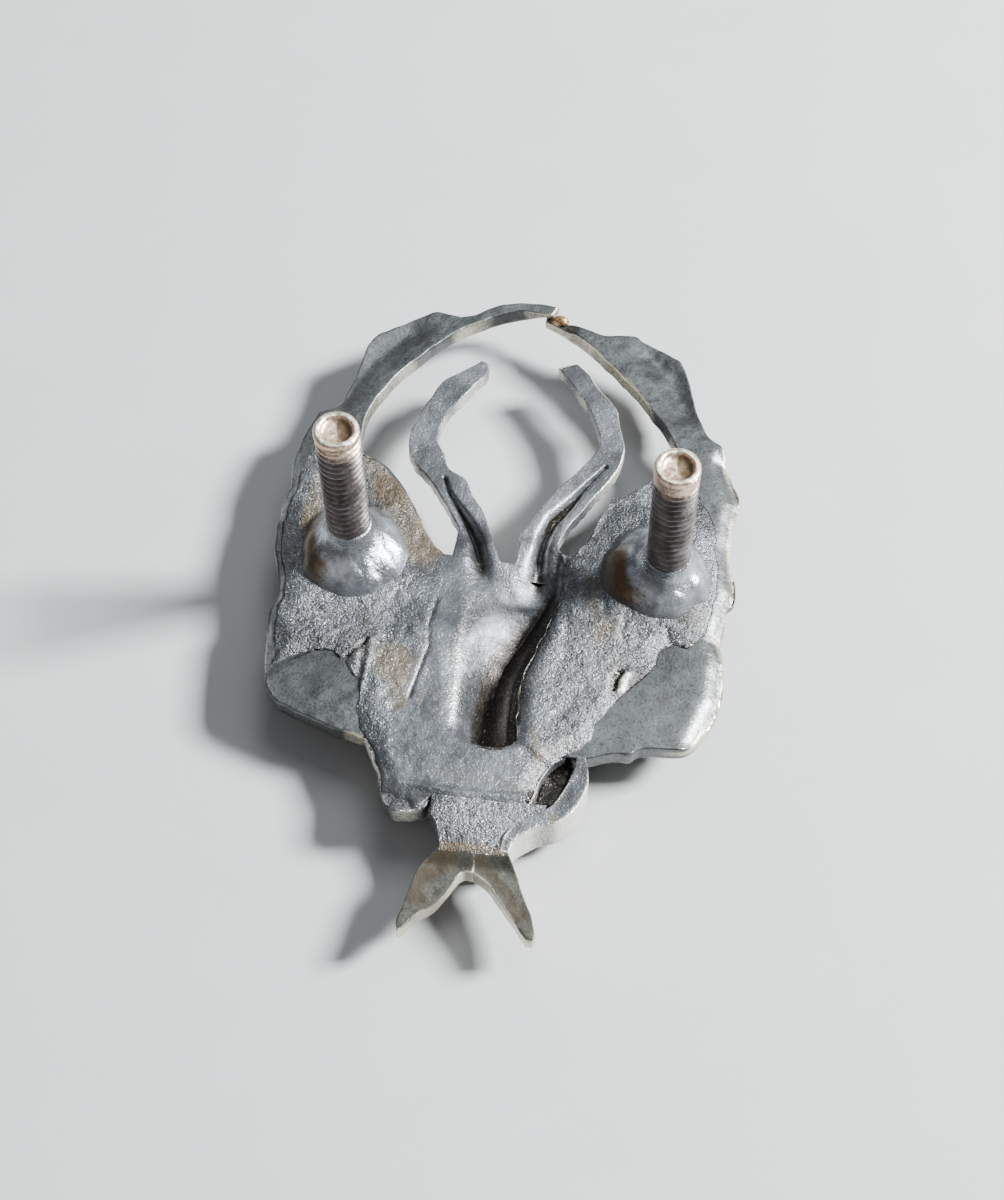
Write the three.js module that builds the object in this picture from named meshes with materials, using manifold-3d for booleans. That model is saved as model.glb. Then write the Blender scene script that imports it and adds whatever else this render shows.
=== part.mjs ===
// A hollow-backed cap badge, lying on its front: an antelope's head in an open wreath of two leafy
// branches, over a plain scroll and a tied ribbon. Two threaded studs are soldered to the back.
// Millimetres, +Z out of the back. The wreath opens towards +Y and the ribbon's tails end at -Y.
import * as THREE from "three";
import { mergeVertices } from "three/addons/utils/BufferGeometryUtils.js";
import Module from "manifold-3d";

// Overall size
const badge_width = 30.0;
const badge_height = 48.2;
const front_depth = 3.8; // from the back plane down to the lowest point of the front

// Plates and relief
const plate_thickness = 1.3;
const thin_tip_thickness = 0.7; // the right branch's tip, under the solder bead
const leaf_length = 5.2;
const leaf_width = 2.3;
const leaf_relief = 1.2; // how far a leaf stands out of its branch's front
const leaf_pitch = 2.8; // from one pair of leaves to the next along a branch
const leaf_splay = 24; // degrees between a leaf and its branch
const horn_thickness = 1.6;
const horn_groove_depth = 0.7;
const horn_groove_width = 1.0;
const head_side_depth = 2.5; // the head's side wall
const hollow_depth = 2.8; // the head's hollow at the muzzle
const hollow_shelf = 0.1; // between the right plate and the head under it
const scroll_depth = 3.3;
const ribbon_thickness = 1.8;
const rim_depth = 2.6; // the wall that runs up the scroll's right side

// Rear coat and fixings
const coat_thickness = 0.3;
const stud_spacing = 20.34;
const stud_row = 1.9; // the studs' centres above the badge's middle
const stud_offset = 0.27; // the middle of the two studs, right of the badge's middle
const stud_diameter = 2.8;
const thread_pitch = 0.53;
const thread_depth = 0.29;
const stud_left_reach = 12.9; // the left stud's end above the back plane
const stud_right_reach = 12.45;
const stud_foot_diameter = 4.4;
const stud_foot_thickness = 0.5;
const stud_cup_depth = 0.35;
const stud_rim_width = 0.4;
const stud_chamfer = 0.22;
const collar_diameter = 7.2;
const collar_height = 2.2;
const collar_lean = 0.85; // how far the right collar's solder ran towards the middle

// Clearances
const joint_gap = 0.1; // between neighbouring plates
const collar_gap = 0.05; // between a collar's bore and its stud

const wasm = await Module();
wasm.setup();

// The outlines below are drawn on a badge of this size, about the head's middle, and are stretched
// to the overall size about the badge's middle.
const drawn = { left: -15.4, right: 14.6, bottom: -22.6, top: 25.6 };
const stretch_x = badge_width / (drawn.right - drawn.left);
const stretch_y = badge_height / (drawn.top - drawn.bottom);
const place_x = (x) => (x - (drawn.left + drawn.right) / 2) * stretch_x;
const place_y = (y) => (y - (drawn.bottom + drawn.top) / 2) * stretch_y;
const place = ([x, y]) => new THREE.Vector2(place_x(x), place_y(y));

// A closed outline: each run is splined through its points, or straight where it has only one.
function outline(start, ...runs) {
  const shape = new THREE.Shape();
  shape.moveTo(...place(start).toArray());
  for (const run of runs) {
    if (run.length === 1) shape.lineTo(...place(run[0]).toArray());
    else shape.splineThru(run.map(place));
  }
  return shape;
}

const lines = (...points) => points.map((point) => [point]);

function solid_of(geometry) {
  const bare = geometry.clone();
  bare.deleteAttribute("normal");
  bare.deleteAttribute("uv");
  const merged = mergeVertices(bare, 1e-4);
  return new wasm.Manifold(
    new wasm.Mesh({
      numProp: 3,
      vertProperties: new Float32Array(merged.attributes.position.array),
      triVerts: new Uint32Array(merged.index.array),
    }),
  );
}

function geometry_of(solid) {
  const mesh = solid.getMesh();
  const geometry = new THREE.BufferGeometry();
  geometry.setAttribute("position", new THREE.BufferAttribute(mesh.vertProperties, 3));
  geometry.setIndex(new THREE.BufferAttribute(mesh.triVerts, 1));
  geometry.computeVertexNormals();
  return geometry;
}

// Heights are measured from the back plane: a plate's back is at 0 and its front is below it.
function plate(shape, low, high = 0) {
  const geometry = new THREE.ExtrudeGeometry(shape, {
    depth: high - low,
    bevelEnabled: false,
    curveSegments: 2,
  });
  return solid_of(geometry.translate(0, 0, low));
}

const smooth_step = (from, to, x) => THREE.MathUtils.smoothstep(x, from, to);

// A value read off a smooth line through [position, value] pairs, in order of position.
function graded(pairs) {
  return (position) => {
    const last = pairs.length - 1;
    let k = 1;
    while (k < last && position > pairs[k][0]) k += 1;
    const [p0, v0] = pairs[k - 1];
    const [p1, v1] = pairs[k];
    return THREE.MathUtils.lerp(v0, v1, smooth_step(p0, p1, position));
  };
}

// Wreath branches: a flat plate with a row of leaves on its front.
const leaf_shape = new THREE.SphereGeometry(0.5, 6, 4);

function leaf(point, direction, width_share) {
  const geometry = leaf_shape.clone();
  geometry.scale(leaf_length, leaf_width * width_share, 2 * leaf_relief);
  geometry.rotateZ(direction);
  geometry.translate(point.x, point.y, -plate_thickness);
  return solid_of(geometry);
}

// Leaves lean to either side of the branch in turn, and narrow towards the branch's tip.
function leaves(stem, side_step) {
  const count = Math.floor(stem.getLength() / leaf_pitch);
  const solids = [];
  for (let k = 0; k < count; k += 1) {
    const along = (k + 0.5) / count;
    const point = stem.getPointAt(along);
    const forward = stem.getTangentAt(along);
    const width_share = 1 - 0.65 * along;
    for (const side of [-1, 1]) {
      const heading = Math.atan2(forward.y, forward.x) + side * THREE.MathUtils.degToRad(leaf_splay);
      const shift = side * side_step * width_share;
      const middle = new THREE.Vector2(point.x - forward.y * shift, point.y + forward.x * shift);
      solids.push(leaf(middle, heading, width_share));
    }
  }
  return wasm.Manifold.union(solids);
}

function branch(shape, stem_points, side_step) {
  const stem = new THREE.SplineCurve(stem_points.map(place));
  const relief = leaves(stem, side_step).intersect(plate(shape, -front_depth, -plate_thickness / 2));
  return plate(shape, -plate_thickness).add(relief);
}

// Where the plates meet: the left plate stops at the head's left side, the right plate laps over the
// head as far as the lip of its hollow, and both stop above the scroll.
const head_left = -4.25;
const scroll_top = -10.2;
const lip = [[1.4, -9.3], [1.6, -7], [1.6, -5], [2.1, -3], [2.8, -1], [3.4, 1.2], [3.4, 3.5]];

const left_branch_shape = outline(
  [0.4, 25.6],
  [[-0.9, 25.6], [-2.3, 25.4], [-3.7, 24.9], [-4.7, 24.2], [-5.7, 23.8]],
  [[-7.4, 24.1], [-9.4, 22.9], [-11, 21.8], [-11.8, 20.7], [-12.1, 18.8], [-12.5, 17], [-13.1, 15.1]],
  [[-14.3, 14.3], [-14.8, 12.8], [-15.1, 11.3], [-15.3, 9.9], [-15.1, 8.1]],
  [[-15.4, 6], [-15.4, 3.3], [-14.9, 1.6], [-14.5, -0.7]],
  [[-14.9, -1.9], [-14.6, -4.4], [-14.1, -7.4], [-13.3, -8.3], [-11.1, -9.2], [-8, -10]],
  ...lines([-7.7, scroll_top], [head_left, scroll_top], [head_left, 3.8]),
  [[-5.1, 4.6], [-6.1, 6.3], [-7.1, 8], [-8, 9.3], [-9.5, 10.6], [-10.7, 11.1]],
  [[-11, 12], [-11.1, 14.1], [-10.1, 17], [-8.3, 19.7], [-6, 22.3], [-3, 24.3], [-1.6, 24.8], [0.4, 24.7]],
);

// The right branch's tip is thin, so that the solder bead can bridge it to the left branch.
const thin_tip = [0.5, 1.9];

const right_branch_shape = outline(
  [thin_tip[0], 24.5],
  [[1.9, 24.1], [3, 23.7], [4.3, 23.3]],
  [[5.6, 23.4], [7, 23], [8.4, 22.4], [9.6, 21.7], [10.5, 19.6], [11.4, 16.7], [12, 15.4]],
  [[13, 14.6], [13.6, 12.8], [14.4, 10.9], [14.4, 9.6], [14.1, 8.3]],
  [[14.1, 5.9], [14.6, 4], [14.6, 2.7], [14.1, 1.5], [13.9, -0.7]],
  [[14.2, -2], [14.3, -4.1], [13.7, -6.6], [12.6, -8.4], [11.4, -8.9], [9.6, -9.1], [7.9, -9.6]],
  ...lines([6.1, scroll_top], [0.9, scroll_top]),
  lip,
  ...lines([3, 4.9], [3.5, 4.6]),
  [[4.1, 4.8], [4.9, 6.4], [5.5, 7.9], [5.9, 9.3]],
  [[7, 10], [8.1, 10.9], [9.3, 12.4], [9.9, 14.1]],
  [[9, 15.9], [7, 18.6], [4.4, 21.3], [2.3, 23.1], [thin_tip[0], 23.9]],
);

const thin_tip_box = outline(
  [thin_tip[0] - 1, 22],
  ...lines([thin_tip[1], 22], [thin_tip[1], 26], [thin_tip[0] - 1, 26]),
);

function left_branch() {
  const stem = [[-8, -8.2], [-11.6, -4.5], [-12.5, 3], [-12.9, 9], [-11.7, 16], [-9, 21], [-5, 23.7], [-1, 25.1]];
  return branch(left_branch_shape, stem, 1.1);
}

function right_branch() {
  const stem = [[7.4, -8.2], [10.9, -5], [12, 3], [12, 9], [10.6, 16], [8.6, 20], [5.6, 22.4], [2.6, 23.6]];
  return branch(right_branch_shape, stem, 1.1)
    .subtract(plate(thin_tip_box, thin_tip_thickness - plate_thickness, 1));
}

// The head: a mask whose hollow back slopes down from the left plate and runs under the right one.
const slope_top = graded([[-9.5, -2.4], [-6, -2.8], [-2, -3.5], [2, -4.2]]);
const slope_foot = graded([[-9.5, -0.6], [-7, -0.7], [-5, -0.5], [-3, 0], [-1, 1], [2, 2.4]]);
const hollow_at = graded([[-9, 1], [-5, 0.93], [0, 0.72], [3.5, 0.55]]);
const head_right = graded([[-10.2, 2.7], [-6, 3.5], [0, 4.4], [3.5, 4.4]]);
const mask_share = graded([[-10.2, 0.84], [-7.5, 0.97], [-3, 1], [3.5, 0.82]]); // of the front's depth
const mask_top = 3.6;
const mask_columns = 14;
const mask_rows = 16;
const right_wall = [1.6, 0.5]; // where the hollow's far side starts and ends, in from the mask's right
const under_lip = [0.4, 1.4]; // where the mask dips to pass under the right plate

function mask() {
  const left = head_left + joint_gap;
  const bottom = scroll_top + joint_gap;
  const shelf = plate_thickness + hollow_shelf;
  const points = [];
  for (let j = 0; j <= mask_rows; j += 1) {
    const y = THREE.MathUtils.lerp(bottom, mask_top, j / mask_rows);
    const right = head_right(y);
    for (let i = 0; i <= mask_columns; i += 1) {
      const x = THREE.MathUtils.lerp(left, right, i / mask_columns);
      const deepest = Math.max(hollow_at(y) * hollow_depth, shelf);
      const down_slope = smooth_step(slope_top(y), slope_foot(y), x);
      const far_side = smooth_step(right - right_wall[0], right - right_wall[1], x);
      const under_plate = smooth_step(under_lip[0], under_lip[1], x) * shelf;
      const back = -Math.max(THREE.MathUtils.lerp(deepest * down_slope, shelf, far_side), under_plate);
      const across = (2 * i) / mask_columns - 1;
      const dome = Math.sqrt(Math.max(0, 1 - across * across));
      const front = -THREE.MathUtils.lerp(head_side_depth, mask_share(y) * front_depth, dome);
      points.push([place_x(x), place_y(y), back, front]);
    }
  }
  return solid_of(grid_geometry(points, mask_columns, mask_rows));
}

// A closed body from a grid of points, each with a back and a front height.
function grid_geometry(points, columns, rows) {
  const backs = points.map(([x, y, back]) => [x, y, back]);
  const fronts = points.map(([x, y, , front]) => [x, y, front]);
  const corner = (i, j) => j * (columns + 1) + i;
  const beneath = points.length;
  const faces = [];
  const quad = (a, b, c, d) => faces.push(a, b, c, a, c, d);
  for (let j = 0; j < rows; j += 1) {
    for (let i = 0; i < columns; i += 1) {
      const ring = [corner(i, j), corner(i + 1, j), corner(i + 1, j + 1), corner(i, j + 1)];
      quad(...ring);
      quad(...ring.map((k) => k + beneath).reverse());
    }
  }
  const wall = (a, b) => quad(a + beneath, b + beneath, b, a);
  for (let i = 0; i < columns; i += 1) {
    wall(corner(i, 0), corner(i + 1, 0));
    wall(corner(i + 1, rows), corner(i, rows));
  }
  for (let j = 0; j < rows; j += 1) {
    wall(corner(columns, j), corner(columns, j + 1));
    wall(corner(0, j + 1), corner(0, j));
  }
  const geometry = new THREE.BufferGeometry();
  const positions = new Float32Array([...backs, ...fronts].flat());
  geometry.setAttribute("position", new THREE.BufferAttribute(positions, 3));
  geometry.setIndex(faces);
  return geometry;
}

const left_horn_shape = outline(
  [-3.75, 3],
  ...lines([-3.7, 5.6]),
  [[-4.3, 7], [-5.1, 8.3], [-6.1, 9.7], [-7.3, 10.9], [-7.8, 12], [-7.9, 13.4], [-7.6, 14.9]],
  [[-7, 16.3], [-6.3, 17.9], [-5.1, 19], [-3.9, 20]],
  ...lines([-3.3, 19.9], [-3.4, 18.9]),
  [[-4.6, 17.1], [-5.4, 15.7], [-5.9, 14.4], [-6, 13], [-5.4, 11.9], [-4.6, 10.7], [-3.7, 9.7], [-2.1, 7.3]],
  [[-1.5, 5.9], [-1, 4.4], [-0.5, 3]],
);

const right_horn_shape = outline(
  [0.2, 3],
  [[0.3, 4.4], [0.7, 6.4], [2.3, 9.7], [3.3, 11.1], [4, 12.1], [4.7, 13.4], [4.7, 14.7], [4.1, 16.3]],
  [[3.3, 17.6], [2.3, 18.9], [1.4, 20]],
  ...lines([1.6, 20.5], [2.6, 20.5]),
  [[3.6, 19.6], [4.7, 18.1], [5.7, 16.9], [6.1, 15.3], [6.5, 13.7], [6.4, 12.6], [6.1, 11.6], [5.4, 10.3]],
  [[4.4, 8.6], [3.5, 7], [2.9, 5.1]],
  ...lines([2.85, 3]),
);

// A groove that widens from a point at the start of its line to its full width at the end.
function groove(points, width) {
  const line = new THREE.SplineCurve(points.map(place));
  const steps = 8;
  const left = [];
  const right = [];
  for (let k = 0; k <= steps; k += 1) {
    const point = line.getPointAt(k / steps);
    const across = line.getTangentAt(k / steps).rotateAround(new THREE.Vector2(), Math.PI / 2);
    const half = (width / 2) * (0.12 + 0.88 * (k / steps));
    left.push(point.clone().addScaledVector(across, half));
    right.unshift(point.clone().addScaledVector(across, -half));
  }
  return plate(new THREE.Shape([...left, ...right]), -horn_groove_depth, 1);
}

function head() {
  const left_groove = [[-5.1, 9.9], [-4.6, 8.7], [-3.7, 7.4], [-3, 6.2], [-2.3, 5], [-1.9, 3.7]];
  const right_groove = [[5.4, 12], [4.4, 10.6], [3.4, 8.9], [2.4, 7.3], [1.9, 6], [1.6, 4]];
  return mask()
    .add(plate(left_horn_shape, -horn_thickness))
    .add(plate(right_horn_shape, -horn_thickness))
    .subtract(groove(left_groove, horn_groove_width))
    .subtract(groove(right_groove, horn_groove_width));
}

// The scroll: its back carries on the plates' level, and its body reaches under the dark recess on
// the right, whose outer wall is the rim that rises from the ribbon.
const scroll_bottom = -14.05;

const scroll_back_shape = outline(
  [-7.5, scroll_top - joint_gap],
  [[-6.9, -11.4], [-6.3, -12.4], [-6.1, -13.6], [-5.7, -14.6], [-4.9, -15.15], [-3.9, -15], [-3.1, -14.7]],
  ...lines([-2.9, scroll_bottom], [3.2, scroll_bottom]),
  [[3.4, -13.2], [3.6, -12.2], [4.2, -10.9], [5, scroll_top - joint_gap]],
);

const scroll_body_shape = outline(
  [-7.2, scroll_top - joint_gap],
  [[-6.6, -11.4], [-6, -12.4], [-5.8, -13.5], [-5.2, -14.1]],
  ...lines([-4.6, scroll_bottom], [4.2, scroll_bottom + 0.35]),
  [[4.7, -12.8], [5, -11.6], [5.4, scroll_top - joint_gap]],
);

function scroll() {
  return plate(scroll_back_shape, -plate_thickness).add(plate(scroll_body_shape, -scroll_depth, -0.9));
}

// The ribbon: a neck under the scroll, two cut tails, and the rim up the scroll's right side.
const neck_top = scroll_bottom - joint_gap;

const rim_top = scroll_top - joint_gap;
const rim_inside = [[4.4, -13.75], [4.9, -12.8], [5.2, -11.6], [5.6, rim_top]];
const rim_outside = [[6.1, rim_top], [6.4, -11.2], [6.4, -12.2], [6.2, -13.2], [5.8, -14.4], [5.2, -14.9]];

const ribbon_shape = outline(
  [-2.6, neck_top],
  ...lines([-2.6, -15.2]),
  [[-2.3, -15.6], [-2.1, -16.3], [-1.9, -17.1]],
  [[-2.5, -17.7], [-3, -18.4], [-3.3, -19.7], [-3.6, -21], [-3.9, -22.1]],
  ...lines([-3.7, -22.6]),
  [[-2.6, -21.4], [-1.7, -20.6], [-0.9, -19.4], [-0.2, -18.4]],
  ...lines([0.3, -18.5]),
  [[1.2, -19.1], [1.9, -19.8], [2.9, -21.1], [3.9, -22.4]],
  ...lines([4.4, -22.3]),
  [[4.2, -21.2], [3.8, -20.2], [3, -18.5], [2.3, -17.1], [2.5, -16.4], [3.3, -15.7], [4.1, -15.1], [5.2, -14.9]],
  rim_outside.slice(0, -1).toReversed(),
  ...lines(rim_inside.at(-1)),
  rim_inside.slice(0, -1).toReversed(),
  ...lines([3.6, neck_top]),
);

const rim_shape = outline(
  [3.6, neck_top],
  rim_inside,
  ...lines(rim_outside[0]),
  [...rim_outside.slice(1), [4.1, -15.1]],
);

function ribbon() {
  return plate(ribbon_shape, -ribbon_thickness).add(plate(rim_shape, -rim_depth, -0.5));
}

// The rough coat of solder and lacquer: one sheet round three sides of the hollow, over both plates
// and the scroll. It leaves a bare facet at the lower left and another at the lower right.
const coat_edge = 0.12; // out from the head's sides

const coat_shape = outline(
  [head_left - coat_edge, 3.6],
  [[-5.3, 4.6], [-6.3, 6.2], [-7.3, 7.9], [-8.2, 9.2], [-9.4, 10.3], [-10.8, 11]],
  [[-11.6, 12.4], [-12.8, 13.2], [-13.9, 12.9]],
  [[-14.5, 11.2], [-14.8, 9.7], [-14.7, 8], [-15, 5.9], [-15, 3.5], [-14.4, 1.4], [-14.1, -0.7]],
  [[-14.4, -1.9], [-14.2, -4.3], [-14, -5.9]],
  ...lines([-13.5, -6.1], [-12.3, -4.7], [-10.2, -4.3]),
  [[-8.7, -5.8], [-8.2, -7], [-8.1, -8.4], [-7.9, -9.6]],
  [[-6.9, -10.9], [-6.1, -12.4], [-5.9, -13.5], [-5.4, -14.4]],
  ...lines([-4.9, scroll_bottom + coat_edge], [3.1, scroll_bottom + coat_edge]),
  [[3.3, -13.2], [3.5, -12.2], [4.1, -10.9], [5, -10.1]],
  [[6.2, -9.4], [7, -7.4], [7.9, -5.6], [9.1, -4.2]],
  [[9.9, -3], [10.3, -1.7], [11.1, -1.4], [12, -1.3]],
  [[12.9, -0.2], [13.4, 1.7], [13.7, 3.9], [13.3, 5.8], [13.2, 7.4], [12.5, 8.9]],
  ...lines([10.4, 10.7], [9.2, 11.6]),
  [[8.3, 10.7], [7.2, 9.8], [6.5, 9.3]],
  [[6, 8], [5.3, 6.3], [4.5, 4.7]],
  ...lines([3.7, 4.5], [3.6, 3.6]),
  lip_moved_out(coat_edge + 0.1),
  ...lines([0.9, scroll_top - coat_edge - joint_gap], [head_left - coat_edge, scroll_top - coat_edge - joint_gap]),
);

// The lip's points from top to bottom, moved out from the hollow.
function lip_moved_out(gap) {
  return lip.toReversed().slice(1).map(([x, y]) => [x + gap, y]);
}

// A stud: a soldered foot, a shank with ring grooves for its thread, and a burred end round a cup.
const stud_left_x = stud_offset - stud_spacing / 2;
const stud_right_x = stud_offset + stud_spacing / 2;
const stud_radius = stud_diameter / 2;
const stud_sides = 16;

function stud(x, reach) {
  const base = coat_thickness;
  const foot_top = base + stud_foot_thickness;
  const foot_radius = stud_foot_diameter / 2;
  const profile = [[0, base], [foot_radius, base], [foot_radius, foot_top]];
  const root = stud_radius - thread_depth;
  const turns = Math.floor((reach - stud_chamfer - foot_top - thread_pitch) / thread_pitch);
  const first = reach - stud_chamfer - turns * thread_pitch;
  profile.push([stud_radius, foot_top], [stud_radius, first]);
  for (let k = 0; k < turns; k += 1) {
    const low = first + k * thread_pitch;
    profile.push([root, low + thread_pitch / 2], [stud_radius, low + thread_pitch]);
  }
  const rim = stud_radius - stud_chamfer;
  profile.push([rim, reach], [rim - stud_rim_width, reach], [0, reach - stud_cup_depth]);
  const points = profile.map(([radius, z]) => new THREE.Vector2(radius, z));
  return solid_of(upright(new THREE.LatheGeometry(points, stud_sides), x, stud_row));
}

// A lathe turns about Y, so its geometry is stood up along Z and moved to its place.
function upright(geometry, x, y) {
  return geometry.rotateX(Math.PI / 2).translate(x, y, 0);
}

function cylinder(x, y, radius, low, high) {
  const profile = [[0, low], [radius, low], [radius, high], [0, high]];
  const points = profile.map(([r, z]) => new THREE.Vector2(r, z));
  return solid_of(upright(new THREE.LatheGeometry(points, stud_sides), x, y));
}

// A collar: a drop of solder round the stud's foot, that climbs the shank in a short fillet.
function collar(stud_x, lean) {
  const base = coat_thickness;
  const radius = collar_diameter / 2;
  const bore = stud_radius + collar_gap;
  const neck = bore + 0.3;
  const shoulder = 0.7 * collar_height;
  const steps = 6;
  const profile = [[0, base]];
  for (let k = 0; k <= steps; k += 1) {
    const turn = (k / steps) * (Math.PI / 2);
    const out = neck + 0.5 + (radius - neck - 0.5) * Math.cos(turn);
    profile.push([out, base + shoulder * Math.sin(turn)]);
  }
  profile.push([neck, base + collar_height], [0, base + collar_height]);
  const points = profile.map(([r, z]) => new THREE.Vector2(r, z));
  const drop = solid_of(upright(new THREE.LatheGeometry(points, 28), stud_x - lean, stud_row));
  const climb = cylinder(stud_x, stud_row, neck, base, base + collar_height);
  const foot_bore = stud_foot_diameter / 2 + collar_gap;
  return drop
    .add(climb)
    .subtract(cylinder(stud_x, stud_row, bore, 0, base + collar_height + 1))
    .subtract(cylinder(stud_x, stud_row, foot_bore, 0, base + stud_foot_thickness + collar_gap));
}

// The bead that joins the branches' tips: it sits on the right branch's thin tip and reaches the left one.
const bead_length = 1.3;
const bead_width = 1.0;
const bead_middle = [thin_tip[0] + 0.55, 24.3];

function bead() {
  const bottom = thin_tip_thickness - plate_thickness;
  const geometry = new THREE.SphereGeometry(0.5, 12, 8);
  geometry.scale(bead_length, bead_width, -2 * bottom);
  geometry.translate(place_x(bead_middle[0]), place_y(bead_middle[1]), bottom);
  const above = outline([0, 22], ...lines([3, 22], [3, 26], [0, 26]));
  return solid_of(geometry.toNonIndexed()).intersect(plate(above, bottom, 1));
}

const badge = new THREE.Group();
badge.position.z = front_depth;

function piece(name, solid, colour, roughness, metalness) {
  const material = new THREE.MeshStandardMaterial({ color: colour, roughness, metalness });
  const mesh = new THREE.Mesh(geometry_of(solid), material);
  mesh.name = name;
  badge.add(mesh);
}

const bronze = "#5d5d58";
const pale_bronze = "#77756a";
const rough_coat = "#6c7076";
const solder = "#7d8087";
const threaded_brass = "#8b8078";
const bare_brass = "#a98a52";

piece("wreath_branch_left", left_branch(), pale_bronze, 0.45, 0.8);
piece("wreath_branch_right", right_branch(), pale_bronze, 0.45, 0.8);
piece("antelope_head", head(), bronze, 0.45, 0.8);
piece("base_scroll", scroll(), rough_coat, 0.6, 0.6);
piece("ribbon_tie", ribbon(), pale_bronze, 0.5, 0.8);
piece("rear_coat", plate(coat_shape, 0, coat_thickness), rough_coat, 0.6, 0.6);
piece("stud_left", stud(stud_left_x, stud_left_reach), threaded_brass, 0.4, 0.9);
piece("stud_right", stud(stud_right_x, stud_right_reach), threaded_brass, 0.4, 0.9);
piece("solder_collar_left", collar(stud_left_x, 0), solder, 0.35, 0.8);
piece("solder_collar_right", collar(stud_right_x, collar_lean), solder, 0.35, 0.8);
piece("top_joint_solder", bead(), bare_brass, 0.35, 0.9);

export default badge;
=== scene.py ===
# %% [markdown]
# # A cap badge, seen from the back
# The badge is brass and hollow-backed: an antelope's head in an open wreath of two leafy branches, over a
# plain scroll and a tied ribbon. It lies on its front. What shows most is its back: flat plates under a
# rough coat of solder and lacquer, the hollow behind the head, and two threaded studs in drops of solder.
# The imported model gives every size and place, and this script builds finer surfaces round it.

# %% Load the frame
import math

import bpy
import numpy as np
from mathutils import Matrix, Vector


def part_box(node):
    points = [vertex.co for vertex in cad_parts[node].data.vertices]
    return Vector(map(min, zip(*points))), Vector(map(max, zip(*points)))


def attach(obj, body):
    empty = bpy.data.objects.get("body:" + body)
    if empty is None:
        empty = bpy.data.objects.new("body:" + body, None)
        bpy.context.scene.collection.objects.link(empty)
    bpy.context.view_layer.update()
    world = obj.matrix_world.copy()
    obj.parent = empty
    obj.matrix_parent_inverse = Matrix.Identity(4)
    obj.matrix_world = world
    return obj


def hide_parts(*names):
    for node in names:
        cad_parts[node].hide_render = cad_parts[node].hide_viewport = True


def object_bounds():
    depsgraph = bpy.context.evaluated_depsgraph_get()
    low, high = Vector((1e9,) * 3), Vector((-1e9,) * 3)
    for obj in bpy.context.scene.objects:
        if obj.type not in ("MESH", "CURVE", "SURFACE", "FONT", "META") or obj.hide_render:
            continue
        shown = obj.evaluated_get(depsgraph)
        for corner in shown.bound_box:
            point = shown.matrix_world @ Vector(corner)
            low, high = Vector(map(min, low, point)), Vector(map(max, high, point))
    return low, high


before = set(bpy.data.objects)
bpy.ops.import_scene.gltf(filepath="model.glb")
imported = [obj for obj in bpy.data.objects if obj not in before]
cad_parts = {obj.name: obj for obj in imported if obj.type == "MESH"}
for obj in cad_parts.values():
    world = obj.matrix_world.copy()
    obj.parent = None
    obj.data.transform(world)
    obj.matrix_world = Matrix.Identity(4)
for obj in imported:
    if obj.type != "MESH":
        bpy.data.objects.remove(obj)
cad_low, cad_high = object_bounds()
print("the badge measures", [round(1000 * size, 2) for size in cad_high - cad_low], "mm")

# %% [markdown]
# ## The drawing board
# Outlines are drawn in millimetres from the middle of the head, with heights measured from the back plane
# of the plates. Two facts tie that drawing to the frame: where the left stud stands, and how high the
# plates' backs are. Everything is worked out on this board and turned into metres only when a mesh is made.

# %% Tie the drawing to the frame
STUD_LEFT = (-10.3, 3.4)


def middle_of(node):
    low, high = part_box(node)
    return (low + high) / 2


plate_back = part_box("wreath_branch_left")[1].z
board_zero = np.array([
    middle_of("stud_left").x - STUD_LEFT[0] / 1000,
    middle_of("stud_left").y - STUD_LEFT[1] / 1000,
    plate_back,
])
stud_right_middle = middle_of("stud_right")
STUD_RIGHT = tuple(1000 * (np.array(stud_right_middle)[:2] - board_zero[:2]))
LEFT_REACH, RIGHT_REACH = (1000 * (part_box(n)[1].z - plate_back) for n in ("stud_left", "stud_right"))
FRONT_DEPTH = 1000 * (plate_back - cad_low.z)
PLATE = 1.3
COAT = 0.3
print("studs reach", round(LEFT_REACH, 2), "and", round(RIGHT_REACH, 2), "mm above the plates' backs")

# %% [markdown]
# ## Curves and uneven ground
# Two tools make every outline and surface. A spline takes a few marked points and runs smoothly through
# them. Value noise gives the metal its slight unevenness: random heights on a square lattice, blended
# between the corners, from a fixed seed so that each run is the same.

# %% Splines and graded values
def spline(points, fine=14):
    """A Catmull-Rom curve: each stretch is the cubic through its two points that leaves them along the
    chord of their neighbours."""
    points = np.array(points, float)
    if len(points) < 3:
        return points
    padded = np.vstack([2 * points[0] - points[1], points, 2 * points[-1] - points[-2]])
    before, start, end, after = (padded[k : len(padded) - 3 + k, None] for k in range(4))
    t = np.linspace(0, 1, fine, endpoint=False)[None, :, None]
    curve = 0.5 * (
        2 * start
        + (end - before) * t
        + (2 * before - 5 * start + 4 * end - after) * t**2
        + (3 * start - before - 3 * end + after) * t**3
    )
    return np.vstack([curve.reshape(-1, points.shape[1]), points[-1]])


def rail(runs, count):
    """Splined runs laid end to end, which keeps the corners between them, then stepped off evenly."""
    line = np.vstack([spline(run) for run in runs])
    lengths = np.hypot(*np.diff(line, axis=0).T)
    line = line[np.concatenate([[True], lengths > 1e-9])]
    along = np.concatenate([[0], np.cumsum(np.hypot(*np.diff(line, axis=0).T))])
    at = np.linspace(0, along[-1], count)
    return np.stack([np.interp(at, along, line[:, 0]), np.interp(at, along, line[:, 1])], 1)


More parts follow.
